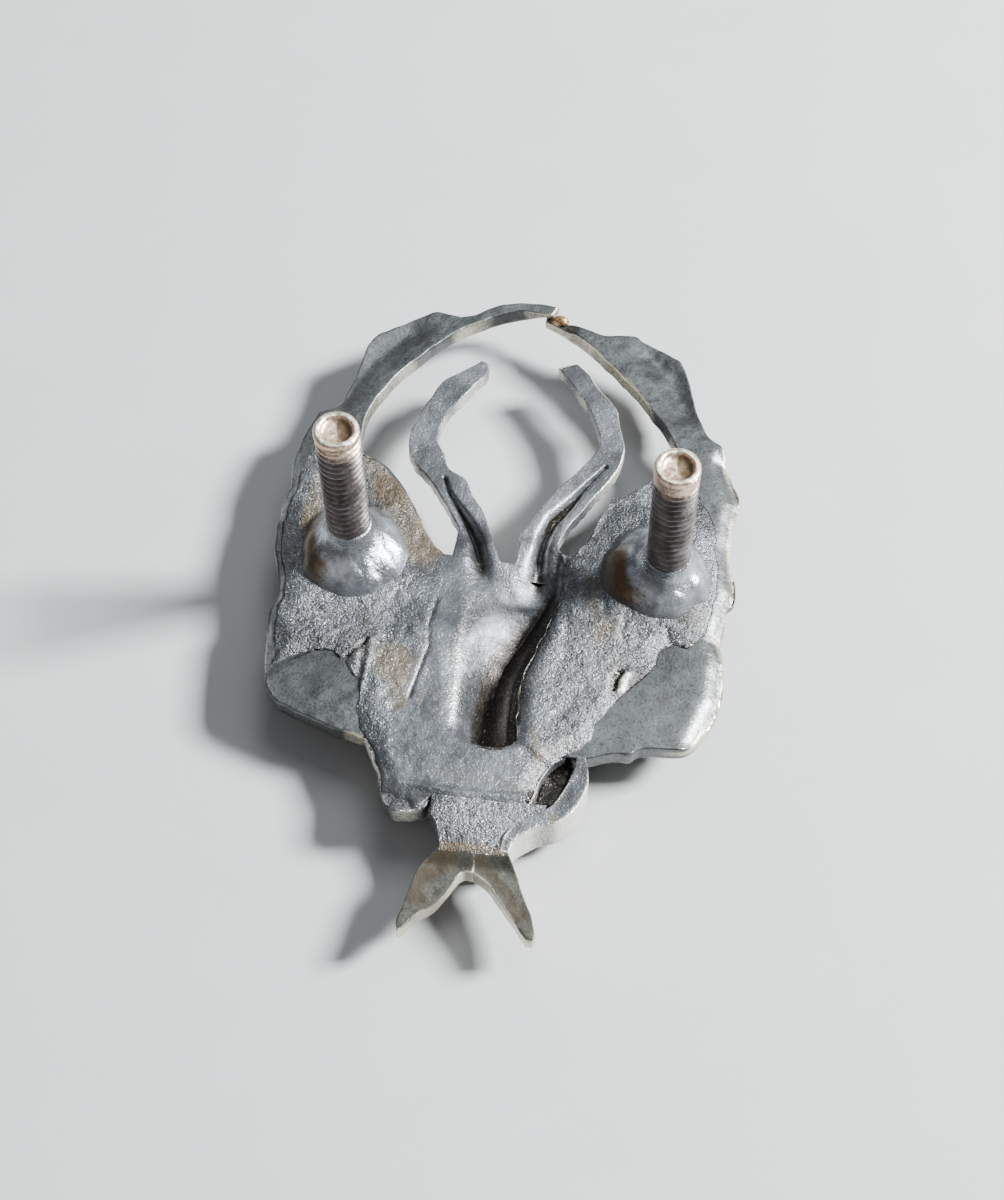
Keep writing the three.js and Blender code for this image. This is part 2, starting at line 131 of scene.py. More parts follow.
def graded(at, places, values):
    """A smooth curve through values at rising places: a cubic between neighbours, level beyond the ends."""
    places, values = np.array(places, float), np.array(values, float)
    slopes = np.gradient(values, places)
    k = np.clip(np.searchsorted(places, at) - 1, 0, len(places) - 2)
    width = places[k + 1] - places[k]
    t = np.clip((at - places[k]) / width, 0, 1)
    rise = values[k + 1] - values[k]
    lead, trail = slopes[k] * width, slopes[k + 1] * width
    return values[k] + t * lead + t**2 * (3 * rise - 2 * lead - trail) + t**3 * (lead + trail - 2 * rise)


def ramp(low, high, value):
    """0 below low and 1 above high, with an S between them."""
    t = np.clip((value - low) / (high - low), 0, 1)
    return t * t * (3 - 2 * t)


# %% Noise and distances
LATTICE = np.random.default_rng(7).uniform(-1, 1, (256, 256))


def noise(x, y, size, seed=0):
    """Random heights from -1 to 1 on a lattice of that size in millimetres, blended with an S curve."""
    u, v = x / size + 17.3 * seed + 90, y / size + 31.7 * seed + 90
    column, row = np.floor(u).astype(int), np.floor(v).astype(int)
    s, t = (part * part * (3 - 2 * part) for part in (u - column, v - row))
    corner = [[LATTICE[(row + j) % 256, (column + i) % 256] for i in (0, 1)] for j in (0, 1)]
    low = corner[0][0] * (1 - s) + corner[0][1] * s
    high = corner[1][0] * (1 - s) + corner[1][1] * s
    return low * (1 - t) + high * t


def ground(x, y, size, layers=3, seed=0):
    """Layers of noise, each half the size and half the height of the one before."""
    return sum(noise(x, y, size / 2**k, seed + k) / 2**k for k in range(layers))


def from_line(x, y, line):
    """Each point's distance to the nearest straight stretch of a line, found by dropping a
    perpendicular to every stretch at once."""
    line = np.array(line, float)
    start, step = line[:-1], np.diff(line, axis=0)
    keep = (step**2).sum(1) > 1e-12
    start, step = start[keep], step[keep]
    points = np.stack([np.ravel(x), np.ravel(y)], 1)
    parts = []
    for block in np.array_split(points, max(1, len(points) * len(start) // 4_000_000)):
        away = block[:, None] - start
        share = np.clip((away * step).sum(-1) / (step**2).sum(-1), 0, 1)
        parts.append(np.hypot(*np.moveaxis(away - share[..., None] * step, -1, 0)).min(1))
    return np.concatenate(parts).reshape(np.shape(x))


def mark(x, y, line, width):
    """1 on a drawn line, falling away like a bell over that width."""
    return np.exp(-((from_line(x, y, line) / width) ** 2))


print("the lattice holds", LATTICE.size, "heights")

# %% [markdown]
# ## Finishes
# Shader maths reads best as sums, so a small class wraps a socket and turns +, - and * into Math nodes.
# A finish is one material. Its one method, add, makes any other node from its type, its settings and the
# values or links of its sockets. Every pattern reads Object coordinates, in metres, so it stays on the metal.

# %% The socket wrapper and the finish
class Socket:
    """An output of a node. Sums on it add Math nodes."""

    def __init__(self, finish, output):
        self.finish = finish
        self.output = output

    def sum(self, operation, first, second):
        return self.finish.add("Math", {"operation": operation}, {0: first, 1: second})

    def __add__(self, other):
        return self.sum("ADD", self, other)

    def __sub__(self, other):
        return self.sum("SUBTRACT", self, other)

    def __rsub__(self, other):
        return self.sum("SUBTRACT", other, self)

    def __mul__(self, other):
        return self.sum("MULTIPLY", self, other)

    __radd__ = __add__
    __rmul__ = __mul__


class Finish:
    """A material with a Principled shader. Constants go on the shader's own sockets."""

    def __init__(self, name, **constants):
        self.material = bpy.data.materials.new(name)
        self.material.use_nodes = True
        self.tree = self.material.node_tree
        self.shader = self.tree.nodes["Principled BSDF"]
        for socket, value in constants.items():
            self.shader.inputs[socket.replace("_", " ")].default_value = value
        self.place = self.add("TexCoord", output="Object")

    def add(self, kind, settings=None, inputs=None, output=0):
        """Any node: its type, its settings first, then the values or links of its sockets."""
        node = self.tree.nodes.new("ShaderNode" + kind)
        for name, value in (settings or {}).items():
            if name == "stops":
                self.set_stops(node.color_ramp, value)
            else:
                setattr(node, name, value)
        for name, value in (inputs or {}).items():
            self.put(node.inputs[name], value)
        return Socket(self, node.outputs[output])

    def put(self, socket, value):
        if isinstance(value, Socket):
            self.tree.links.new(value.output, socket)
        else:
            socket.default_value = value

    @staticmethod
    def set_stops(stops, values):
        while len(stops.elements) < len(values):
            stops.elements.new(1)
        for element, (position, colour) in zip(stops.elements, values):
            element.position = position
            element.color = (*colour, 1)

    def grain(self, millimetres, detail=3.0, rough=0.55, warp=0.0, stretch=(1, 1, 1)):
        """Noise whose blotches are about that size. Stretch draws them out along an axis."""
        place = self.add("Mapping", None, {"Vector": self.place, "Scale": stretch})
        settings = {"Scale": 1000 / millimetres, "Detail": detail, "Roughness": rough, "Distortion": warp}
        return self.add("TexNoise", None, {"Vector": place, **settings})

    def painted(self, name):
        """A number that a piece's mesh carries at each point."""
        return self.add("Attribute", {"attribute_name": name}, output="Fac")

    def over(self, value, low, high, start=0.0, end=1.0):
        """The value's share of the way from low to high, held within start and end."""
        marks = {"Value": value, "From Min": low, "From Max": high, "To Min": start, "To Max": end}
        return self.add("MapRange", {"interpolation_type": "SMOOTHSTEP"}, marks)

    def blend(self, share, first, second):
        """Two colours mixed by a share."""
        colours = {0: share, 6: self.colour(first), 7: self.colour(second)}
        return self.add("Mix", {"data_type": "RGBA"}, colours, output=2)

    @staticmethod
    def colour(value):
        return value if isinstance(value, Socket) else (*value, 1)

    def raised(self, height, millimetres, strength=1.0, below=None):
        """A Bump node: the surface stands up by that much where height is 1."""
        inputs = {"Height": height, "Distance": millimetres / 1000, "Strength": strength}
        if below is not None:
            inputs["Normal"] = below
        return self.add("Bump", None, inputs)

    def finish(self, **varying):
        for socket, value in varying.items():
            self.put(self.shader.inputs[socket.replace("_", " ")], value)
        return self.material


# %% [markdown]
# ### Bronzed brass
# The bare plates are brass under a dark finish, and wear has rubbed their edges back towards brass. When and
# how they were darkened isn't known. One colour can't show that wear, so the darkening is uneven over a few
# millimetres, the edges carry a painted wear value, and fine scratches change the gloss. That value also
# paints highlights on lit walls: the right branch's outer roll and the ribbon tails' sides.

# %% Bronzed brass
def bronzed_brass(name, dark, pale, worn, gloss=0.34):
    metal = Finish(name, Coat_Roughness=0.22, IOR=1.45)
    wear = metal.painted("wear")
    warm = metal.painted("warm")
    blotch = metal.grain(1.1, 5, 0.72)
    speck = metal.grain(0.2, 3, 0.7)
    scratch = metal.grain(0.5, 3, 0.6, 0.4, (1, 6, 1))
    colour = metal.blend(metal.over(blotch, 0.36, 0.68), dark, pale)
    colour = metal.blend(metal.over(speck, 0.52, 0.64) * 0.7, colour, (0.03, 0.026, 0.02))
    stained = metal.over(warm * (blotch + speck), 0.5, 1.0)
    colour = metal.blend(stained * 0.85, colour, (0.05, 0.037, 0.02))
    # Worn brass on the edges, and painted highlights on the right branch's roll and the tails' walls.
    worn_and_highlight = metal.over(wear * (speck + 0.55), 0.5, 1.0)
    colour = metal.blend(worn_and_highlight, colour, worn)
    uneven = metal.raised(metal.grain(0.7, 3, 0.5), 0.025, 0.5)
    pitted = metal.raised(speck, 0.035, 0.8, uneven)
    drawn = metal.raised(scratch, 0.012, 0.4, pitted)
    return metal.finish(
        Base_Color=colour,
        Metallic=0.88 - warm * 0.3,
        Roughness=metal.over(scratch + speck, 0.7, 1.35, gloss - 0.07, gloss + 0.14) - worn_and_highlight * 0.06,
        Coat_Weight=metal.over(blotch, 0.3, 0.7, 0.18, 0.28),
        Normal=drawn,
    )


wreath_metal = bronzed_brass("wreath_bronze", (0.082, 0.085, 0.084), (0.118, 0.124, 0.124),
    (0.66, 0.61, 0.48))
ribbon_metal = bronzed_brass("ribbon_bronze", (0.058, 0.056, 0.046), (0.105, 0.102, 0.086),
    (0.64, 0.60, 0.47), 0.4)
print("bronzed:", wreath_metal.name, ribbon_metal.name)

# %% [markdown]
# ### The rough coat
# Solder was flooded over the back and then lacquered. It froze with a skin like orange peel, it is pitted,
# and dirt sits in the pits. Cells of two sizes bump the surface, and the pits are darker and browner.

# %% The rough coat
def rough_coat():
    coat = Finish("rough_coat", Coat_Roughness=0.3, IOR=1.5)
    wear = coat.painted("wear")
    warm = coat.painted("warm")
    smooth = coat.painted("smooth")
    dirt = coat.painted("dirt")
    broad = coat.grain(4.5, 4, 0.55)
    peel = coat.grain(0.36, 4, 0.66)
    fine = coat.grain(0.13, 2, 0.6)
    colour = coat.blend(coat.over(broad, 0.36, 0.64), (0.055, 0.057, 0.06), (0.175, 0.183, 0.195))
    pits = coat.over(peel + fine * 0.6, 0.58, 0.74, 1.0, 0.0)
    colour = coat.blend(pits * (0.9 - smooth * 0.5), colour, (0.03, 0.025, 0.02))
    khaki = coat.over(warm * (peel + fine), 0.45, 0.95)
    colour = coat.blend(khaki * 0.8, colour, (0.085, 0.06, 0.03))
    # This dark colour is dirt in pits and cracks, and painted shade in the hollow, the slot and along the
    # lip.
    colour = coat.blend(coat.over(dirt, 0.2, 0.8), colour, (0.022, 0.016, 0.011))
    # The pale colour is rubbed metal at chips and edges, and painted highlights on the hollow's lit slope and
    # the scroll's rim.
    bright = coat.over(wear * (fine + 0.6), 0.6, 1.05)
    colour = coat.blend(bright, colour, (0.74, 0.71, 0.63))
    flatter = 1 - smooth * 0.6
    # Painted glints: pale specks mixed into the colour as highlights.
    glint = coat.over(fine, 0.6, 0.68) * coat.over(broad, 0.36, 0.56) * (1 - smooth * 0.6)
    colour = coat.blend(glint * 0.7, colour, (0.78, 0.77, 0.74))
    skin = coat.raised(peel * flatter, 0.16, 0.9)
    skin = coat.raised(fine * flatter, 0.09, 1.0, skin)
    return coat.finish(
        Base_Color=colour,
        Metallic=0.72 - khaki * 0.35 - pits * 0.25,
        Roughness=coat.over(peel, 0.35, 0.7, 0.24, 0.46),
        Coat_Weight=smooth * 0.35 + 0.1,
        Normal=skin,
    )


coat_metal = rough_coat()

# %% [markdown]
# ### Solder, threads and bare brass
# A drop of solder froze smooth and took the lacquer like glass, so it shines where the coat doesn't, with
# grit caught in it. The studs' threads are grey and darker in the roots, with painted shade in their cups,
# and turn to copper and cream at the cut ends, perhaps where a nut has rubbed them.

# %% Solder, threads and bare brass
def drop_of_solder():
    solder = Finish("solder", Coat_Roughness=0.12, IOR=1.5)
    warm = solder.painted("warm")
    foot = solder.painted("foot")
    broad = solder.grain(1.3, 3, 0.5)
    grit = solder.grain(0.2, 3, 0.7)
    colour = solder.blend(solder.over(broad, 0.35, 0.65), (0.19, 0.198, 0.215), (0.42, 0.44, 0.475))
    specks = solder.over(grit, 0.56, 0.68)
    # Grit specks, and the brown side of a collar, which is partly painted shade, turn it brown.
    colour = solder.blend(solder.over(warm + specks * 0.45, 0.35, 1.0), colour, (0.075, 0.045, 0.022))
    colour = solder.blend(foot * 0.7, colour, (0.12, 0.12, 0.125))
    uneven = solder.raised(broad, 0.1, 0.5)
    return solder.finish(
        Base_Color=colour,
        Metallic=0.85 - warm * 0.3,
        Roughness=solder.over(grit, 0.4, 0.7, 0.2, 0.36) + warm * 0.1 + foot * 0.1,
        Coat_Weight=0.5 - warm * 0.3,
        Normal=solder.raised(grit, 0.055, 0.8, uneven),
    )


def threaded_brass():
    brass = Finish("threaded_brass", Coat_Roughness=0.3, IOR=1.45)
    wear = brass.painted("wear")
    root = brass.painted("root")
    cut = brass.painted("cut")
    dirt = brass.painted("dirt")
    blotch = brass.grain(1.1, 3, 0.6)
    speck = brass.grain(0.2, 3, 0.65)
    colour = brass.blend(brass.over(blotch, 0.35, 0.65), (0.085, 0.075, 0.073), (0.19, 0.172, 0.175))
    # Darker in the thread roots.
    colour = brass.blend(root * 0.75, colour, (0.10, 0.075, 0.06))
    copper = brass.blend(brass.over(speck, 0.4, 0.62), (0.50, 0.31, 0.22), (0.74, 0.62, 0.48))
    colour = brass.blend(brass.over(cut + speck * 0.3, 0.35, 0.9), colour, copper)
    colour = brass.blend(brass.over(wear * (speck + 0.5), 0.5, 0.95), colour, (0.88, 0.80, 0.65))
    # The dark brown is painted shade, mostly in the cup.
    colour = brass.blend(brass.over(dirt, 0.2, 0.8) * 0.9, colour, (0.10, 0.065, 0.03))
    return brass.finish(
        Base_Color=colour,
        Metallic=0.88 - dirt * 0.35,
        Roughness=brass.over(speck, 0.35, 0.7, 0.28, 0.46) + root * 0.12,
        Coat_Weight=0.25 - cut * 0.2,
        Normal=brass.raised(speck, 0.02, 0.6),
    )


def bare_brass():
    brass = Finish("bare_brass", Coat_Roughness=0.3, IOR=1.45)
    blotch = brass.grain(0.5, 3, 0.6)
    colour = brass.blend(brass.over(blotch, 0.4, 0.62), (0.16, 0.09, 0.045), (0.66, 0.47, 0.24))
    return brass.finish(
        Base_Color=colour,
        Metallic=0.9,
        Roughness=brass.over(blotch, 0.3, 0.7, 0.5, 0.3),
        Coat_Weight=brass.over(blotch, 0.4, 0.7, 0.0, 0.2),
        Normal=brass.raised(blotch, 0.04, 0.6),
    )


solder_metal, thread_metal, brass_metal = drop_of_solder(), threaded_brass(), bare_brass()
print(len(bpy.data.materials), "materials")

# %% [markdown]
# ## From a grid to a mesh
# Every piece is one grid of points whose rows are closed rings. Neighbouring rings are joined by quads, and
# the first and last rings are closed by a face, or joined to each other where the shape is a hoop. The
# volume under the faces says whether they point outwards; if it comes out negative they are all turned.

# %% Make one piece from its rings
def ring_faces(rows, ring, hoop):
    start = np.arange(rows if hoop else rows - 1)[:, None]
    column = np.arange(ring)
    here, there = start * ring, (start + 1) % rows * ring
    after = (column + 1) % ring
    return np.stack([here + column, here + after, there + after, there + column], -1).reshape(-1, 4)


def make_piece(name, rings, metal, nodes, painted=None, hoop=False, crease=38):
    """Rings of points, rows x ring x 3 in millimetres on the board, as one closed mesh in the frame."""
    rows, ring = rings.shape[:2]
    points = rings.reshape(-1, 3) / 1000 + board_zero
    quads = ring_faces(rows, ring, hoop)
    faces = quads.tolist()
    if not hoop:
        faces += [list(range(ring))[::-1], list(range((rows - 1) * ring, rows * ring))]
    corners = (points - points.mean(0))[quads]
    volume = np.einsum("ij,ij->i", corners[:, 0], np.cross(corners[:, 1], corners[:, 2])).sum()
    volume += np.einsum("ij,ij->i", corners[:, 0], np.cross(corners[:, 2], corners[:, 3])).sum()
    if volume < 0:
        faces = [face[::-1] for face in faces]
    mesh = bpy.data.meshes.new(name)
    mesh.from_pydata(points.tolist(), [], faces)
    for key, values in (painted or {}).items():
        layer = mesh.attributes.new(key, "FLOAT", "POINT")
        layer.data.foreach_set("value", np.clip(values, 0, 1).astype(np.float32).ravel())
    mesh.shade_smooth()
    mesh.set_sharp_from_angle(angle=math.radians(crease))
    mesh.materials.append(metal)
    mesh.update()
    piece = bpy.data.objects.new(name, mesh)
    bpy.context.scene.collection.objects.link(piece)
    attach(piece, "root")
    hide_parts(*nodes)
    print(f"{name}: {len(mesh.polygons)} faces, {1e9 * abs(volume) / 6:.0f} cubic mm")
    return piece


# %% [markdown]
# ### Slabs
# A plate lies between two rails, one down each side. Both rails are stepped off in the same number of
# steps, and each pair of steps is one ring: across the back from rail A to rail B, down the wall, back along
# the front and up the other wall. The points crowd together near the edges, where the back rolls over into
# the wall, because a worn plate has no sharp corner.

# %% Slabs between two rails
EDGE_STEPS = np.array([0, 0.03, 0.08, 0.15, 0.25, 0.4])


def roll_off(distance, radius):
    """How far a rounded edge has dropped: a quarter circle of that radius, seen from its top."""
    inside = np.clip(radius - distance, 0, radius)
    return radius - np.sqrt(np.maximum(radius**2 - inside**2, 0))


def across(width, columns):
    """Shares of the way across: fixed steps in from both edges, and even steps between them."""
    steps = EDGE_STEPS * np.minimum(1, width[:, None] / (3 * EDGE_STEPS[-1]))
    near = steps / width[:, None]
    t = np.linspace(0, 1, columns - 2 * len(EDGE_STEPS) + 2)[1:-1]
    middle = near[:, -1:] + (1 - 2 * near[:, -1:]) * t
    return np.hstack([near, middle, 1 - near[:, ::-1]])


def slab(sections, back, front, columns=40, front_columns=24, back_round=0.1, front_round=0.3, waver=0.05,
    relief=None):
    """Rings of a plate: rails A and B in matching sections of (A's runs, B's runs, rows); back and front
    give the heights at any point, and relief is added to the front away from the outline. Returns the
    rings and each point's distance from the outline."""
    sides = []
    for side in (0, 1):
        parts = [rail(section[side], section[2]) for section in sections]
        sides.append(np.vstack([parts[0]] + [part[1:] for part in parts[1:]]))
    a, b = (line + waver * np.stack([noise(*line.T, 0.7, 3), noise(*line.T, 0.7, 8)], 1) for line in sides)
    edge = np.vstack([a, b[::-1], a[:1]])
    coarse = edge[:: max(1, len(edge) // 260)]
    coarse = np.vstack([coarse, edge[:1]])
    width = np.hypot(*(b - a).T)

    def face(count, height, round_off, sign):
        share = across(width, count)
        x, y = (a[:, None, k] + (b - a)[:, None, k] * share for k in (0, 1))
        side = np.minimum(share, 1 - share) * width[:, None]
        distance = np.minimum(from_line(x, y, coarse), side)
        z = height(x, y) - sign * roll_off(distance, round_off)
        if relief and sign < 0:
            z = z - relief(x, y) * ramp(0.05, 1.0, distance)
        return x, y, z, distance

    top = face(columns, back, back_round, 1)
    under = [part[:, ::-1] for part in face(front_columns, front, front_round, -1)]
    walls = []
    for start, end in ((top, under), (under, top)):
        t = np.array([0.25, 0.5, 0.75])
        walls.append([start[k][:, -1:] * (1 - t) + end[k][:, :1] * t for k in range(4)])
    x, y, z, distance = (np.hstack([top[k], walls[0][k], under[k], walls[1][k]]) for k in range(4))
    return np.stack([x, y, z], -1), distance


def edge_wear(rings, distance, reach=0.17):
    """Wear is full on the outline and fades inwards; it comes and goes along the edge."""
    x, y = rings[..., 0], rings[..., 1]
    return 1.25 * np.exp(-distance / reach) * (0.6 + 0.5 * noise(x, y, 1.7, 5))


print("edges are rounded over", EDGE_STEPS[-1], "mm")

# %% [markdown]
# ## The back's ground
# The coat runs over both plates, the scroll and down into the hollow, so one height serves them all. It is
# the coat's thickness, plus the unevenness that solder freezes with, piled up towards the studs, less the
# cracks and scratches. The hollow is a long slope down from the left to a foot under the right plate's lip.

# %% The coat's level
CRACKS = [
    ([(-9.7, -5.0), (-9.0, -4.2), (-8.3, -3.3)], 0.16, 0.13),
    ([(-8.6, -3.2), (-8.4, -5.9), (-8.7, -8.3)], 0.10, 0.22),
    ([(-4.3, 0.2), (-4.6, -1.6), (-4.4, -3.4), (-4.7, -5.0), (-5.1, -7.2)], 0.09, 0.13),
    ([(3.5, 2.0), (4.0, 0.0), (4.2, -3.2)], 0.08, 0.25),
    ([(5.8, 3.0), (6.4, 0.6)], 0.10, 0.2),
    ([(7.7, 0.2), (7.6, -1.0), (8.0, -2.0)], 0.10, 0.2),
    ([(11.1, -1.9), (10.6, -1.2), (10.4, -0.4)], 0.12, 0.14),
    ([(-6.5, -2.0), (-7.3, -1.0), (-7.0, 0.3)], 0.07, 0.2),
]
RIDGES = [
    ([(-8.1, -3.2), (-7.95, -4.6), (-8.1, -5.9), (-8.3, -8.3)], 0.1, 0.18),
    ([(4.15, 4.9), (4.9, 6.4), (5.8, 8.9)], 0.26, 0.24),
    ([(5.9, 9.3), (6.0, 9.4)], 0.3, 0.3),
    ([(-4.9, -13.2), (-1.0, -13.5), (3.0, -13.4)], 0.1, 0.3),
    ([(2.3, -9.3), (3.4, -10.3), (4.4, -10.8)], 0.14, 0.3),
]
PIT = [(7.75, -3.9), (7.45, -4.5), (7.5, -5.0)]
CHIP = [(8.2, -4.1), (8.0, -4.6), (7.9, -5.1)]
LIP = [(1.1, -10.2), (1.85, -9.1), (1.7, -7.0), (1.7, -5.0), (2.2, -3.0), (2.8, -1.2), (3.4, 1.2),
    (3.5, 3.2)]


def lip_roll(x, y):
    """How far the right plate has sunk beside the hollow, as a bell about the lip."""
    return 0.42 * mark(x, y, LIP, 0.5) * ramp(-10.2, -9.4, y)


def coat_level(x, y):
    """Thickness + noise + a swelling round each stud + ridges - cracks, in millimetres."""
    rough = ramp(-6.5, -4.5, x) * ramp(4.5, 2.5, x)
    level = (
        COAT + (0.11 - 0.07 * rough) * ground(x, y, 3.4, 3, 1)
        + (0.045 - 0.03 * rough) * ground(x, y, 0.6, 2, 6)
    )
    for stud in (STUD_LEFT, STUD_RIGHT):
        level = level + 0.3 * np.exp(-((np.hypot(x - stud[0], y - stud[1]) / 4.6) ** 2))
    for line, depth, width in CRACKS:
        level = level - depth * mark(x, y, line, width)
    for line, height, width in RIDGES:
        level = level + height * mark(x, y, line, width)
    return (
        level - 0.3 * mark(x, y, PIT, 0.25) + 0.14 * mark(x, y, CHIP, 0.25)
        - lip_roll(x, y) * ramp(0.9, 1.4, x)
    )


# %% The hollow behind the head
SLOPE_ROWS = (-9.8, -6.0, -2.0, 2.0, 3.6)
SLOPE_START = (-2.9, -3.3, -4.1, -4.6, -4.4)
FOOT_ROWS = (-9.8, -7.5, -5.0, -3.0, -1.0, 2.0, 3.6)
SLOPE_FOOT = (-0.3, -0.35, -0.1, 0.4, 1.4, 2.7, 3.0)
LIP_ROWS, LIP_PLACES = (tuple(point[k] for point in LIP) for k in (1, 0))
LEFT_GROOVE = [(-5.1, 9.9), (-4.6, 8.7), (-3.7, 7.4), (-3.0, 6.3), (-2.4, 5.1), (-2.0, 3.6), (-1.7, 2.0),
    (-1.4, 0.0)]
RIGHT_GROOVE = [(5.4, 12.0), (4.4, 10.6), (3.4, 8.9), (2.4, 7.4), (1.95, 6.1), (1.8, 4.6), (1.8, 3.0),
    (1.6, 0.5)]


def groove_depth(x, y, line):
    """A rounded furrow along a line, that widens and deepens towards the head and then fades into it."""
    grown = ramp(line[0][1], line[0][1] - 5.5, y)
    width = 0.1 + 0.27 * grown + 0.4 * ramp(5.2, 1.5, y)
    return (0.3 + 0.6 * grown) * np.exp(-((from_line(x, y, line) / width) ** 2)) * ramp(0.6, 4.6, y)


def hollow_depth(x, y):
    """An uneven V: an S-shaped slope down from the left to the foot, then a steep wall up to the lip. Past
    the lip it drops under the right plate. It is deeper towards the muzzle and closed at the bottom end."""
    start = graded(y, SLOPE_ROWS, SLOPE_START)
    foot = graded(y, FOOT_ROWS, SLOPE_FOOT)
    lip = graded(y, LIP_ROWS, LIP_PLACES)
    t = np.clip((x - start) / (foot - start), 0, 1)
    down = 0.55 * t**1.6 + 0.45 * ramp(0.3, 1.0, t)
    up = np.clip((x - foot) / np.maximum(lip - foot, 0.2), 0, 1)
    depth = graded(y, (-9.8, -7.0, -3.0, 0.0, 2.0, 3.6), (2.75, 2.8, 2.5, 2.0, 1.45, 0.75))
    end_width = 0.35 + 1.5 * ramp(0.6, -2.2, x)
    return depth * (down - 0.8 * (0.4 * up + 0.6 * ramp(0.0, 1.0, up))) * ramp(-10.15, -10.15 + end_width,
        y)


def head_back(x, y):
    """The coat's level less the hollow and the horns' furrows, level where it lies under the right plate."""
    under = (x > graded(y, LIP_ROWS, LIP_PLACES) + 0.06) & (y < 2.8)
    return np.where(under, -PLATE - 0.15, open_back(x, y))


def open_back(x, y):
    return coat_level(x, y) - 0.012 - hollow_depth(x, y) - furrows(x, y)


def furrows(x, y):
    return np.maximum(groove_depth(x, y, LEFT_GROOVE), groove_depth(x, y, RIGHT_GROOVE))


grid_x, grid_y = np.meshgrid(np.linspace(-4, 3, 40), np.linspace(-10, 3, 60))
print("the hollow is", round(float(-head_back(grid_x, grid_y).min()), 2), "mm deep")

# %% [markdown]
# ## The front's relief
# The front lies face down and its relief is a guess, but it is finished too. Leaves are lens shapes: the
# smaller of two arcs across, pointed at both ends, with a raised rib and slanting veins. The tallest leaf
# wins at each point.

# %% Leaves
LEFT_STEM = [(-6.4, -9.0), (-10.4, -6.4), (-11.4, 0.0), (-12.2, 6.0), (-12.8, 12.0), (-11.4, 17.4),
    (-8.4, 21.6), (-4.6, 24.0), (-0.6, 25.2)]
RIGHT_STEM = [(6.4, -9.0), (9.8, -6.4), (10.8, 0.0), (11.6, 6.0), (11.8, 12.0), (10.4, 17.0), (7.8, 20.8),
    (5.0, 22.6), (2.0, 23.7)]
LEAF_PAIRS = 13


def lens(x, y, root, heading, length, width):
    """A pointed leaf's height from 0 to 1: falls away across as the square, with a rib and veins."""
    along = ((x - root[0]) * math.cos(heading) + (y - root[1]) * math.sin(heading)) / length
    side = (-(x - root[0]) * math.sin(heading) + (y - root[1]) * math.cos(heading)) / (0.5 * width)
    reach = np.maximum(4 * along * (1 - along), 0) ** 0.75
    height = np.clip(1 - (np.abs(side) / np.maximum(reach, 1e-3)) ** 2, 0,
        1) * np.sqrt(np.clip(reach, 0, 1))
    veins = 0.5 + 0.5 * np.cos(26 * (along - 0.28 * np.abs(side)))
    rib = np.exp(-((side / 0.12) ** 2))
    return height * (0.8 + 0.1 * veins + 0.2 * rib)


def leaf_relief(stem):
    line = rail([stem], LEAF_PAIRS * 8 + 1)
    ahead = np.arctan2(*np.gradient(line, axis=0).T[::-1])

    def height(x, y):
        tallest = np.zeros_like(x)
        for k in range(LEAF_PAIRS):
            root, heading = line[8 * k], ahead[8 * k]
            shrink = 1 - 0.55 * k / LEAF_PAIRS
            for splay, length, width in ((0.62, 4.6, 2.4), (-0.62, 4.6, 2.4), (0.0, 5.0, 2.0)):
                leaf = lens(x, y, root, heading + splay, length, width * (0.45 + 0.55 * shrink))
                tallest = np.maximum(tallest, leaf * (1.0 if splay else 1.12) * (0.6 + 0.4 * shrink))
        return 0.95 * tallest

    return height


# %% [markdown]
# ## The wreath
# Each branch is one plate: a broad foot beside the head that narrows to a thin tip at the top. The left
# one's inner edge is crisp. The right one's outer edge is a wide bright roll.

# %% The two branches
LEFT_BRANCH = [
    (
        [
            [(-7.7, -10.2), (-8.2, -10.0), (-9.4, -9.8), (-11.1, -9.2), (-12.6, -8.6), (-13.3, -8.3),
                (-14.1, -7.4)],
            [(-14.1, -7.4), (-14.5, -5.7), (-14.6, -4.4), (-14.9, -1.9)],
            [(-14.9, -1.9), (-14.5, -0.7), (-14.6, 0.4), (-15.0, 1.9), (-15.4, 3.3), (-15.4, 6.0),
                (-15.1, 8.1)],
            [(-15.1, 8.1), (-15.3, 9.9), (-15.1, 11.3), (-14.7, 13.0), (-14.3, 14.3)],
        ],
        [
            [(-4.25, -10.2), (-4.25, 3.8)],
            [(-4.25, 3.8), (-5.1, 4.6), (-6.1, 6.3), (-7.1, 8.0), (-8.0, 9.3), (-9.0, 10.3), (-9.9, 10.9),
                (-10.7, 11.1)],
        ],
        280,
    ),
    (
        [
            [(-14.3, 14.3), (-13.1, 15.1), (-12.5, 17.0), (-12.1, 19.0), (-11.8, 20.7), (-11.0, 21.8),
                (-9.4, 22.9)],
            [(-9.4, 22.9), (-8.0, 23.8), (-7.4, 24.1), (-6.6, 23.9), (-5.7, 23.8)],
            [(-5.7, 23.8), (-4.7, 24.2), (-3.7, 24.9), (-2.3, 25.4), (-0.9, 25.6), (0.95, 25.4)],
        ],
        [
            [(-10.7, 11.1), (-11.0, 12.0), (-11.1, 14.1), (-10.7, 15.6), (-10.1, 17.0), (-9.3, 18.4),
                (-8.3, 19.7)],
            [(-8.3, 19.7), (-7.3, 21.0), (-6.0, 22.3), (-4.7, 23.3), (-3.0, 24.3), (-1.6, 24.8),
                (0.6, 24.65)],
        ],
        230,
    ),
]
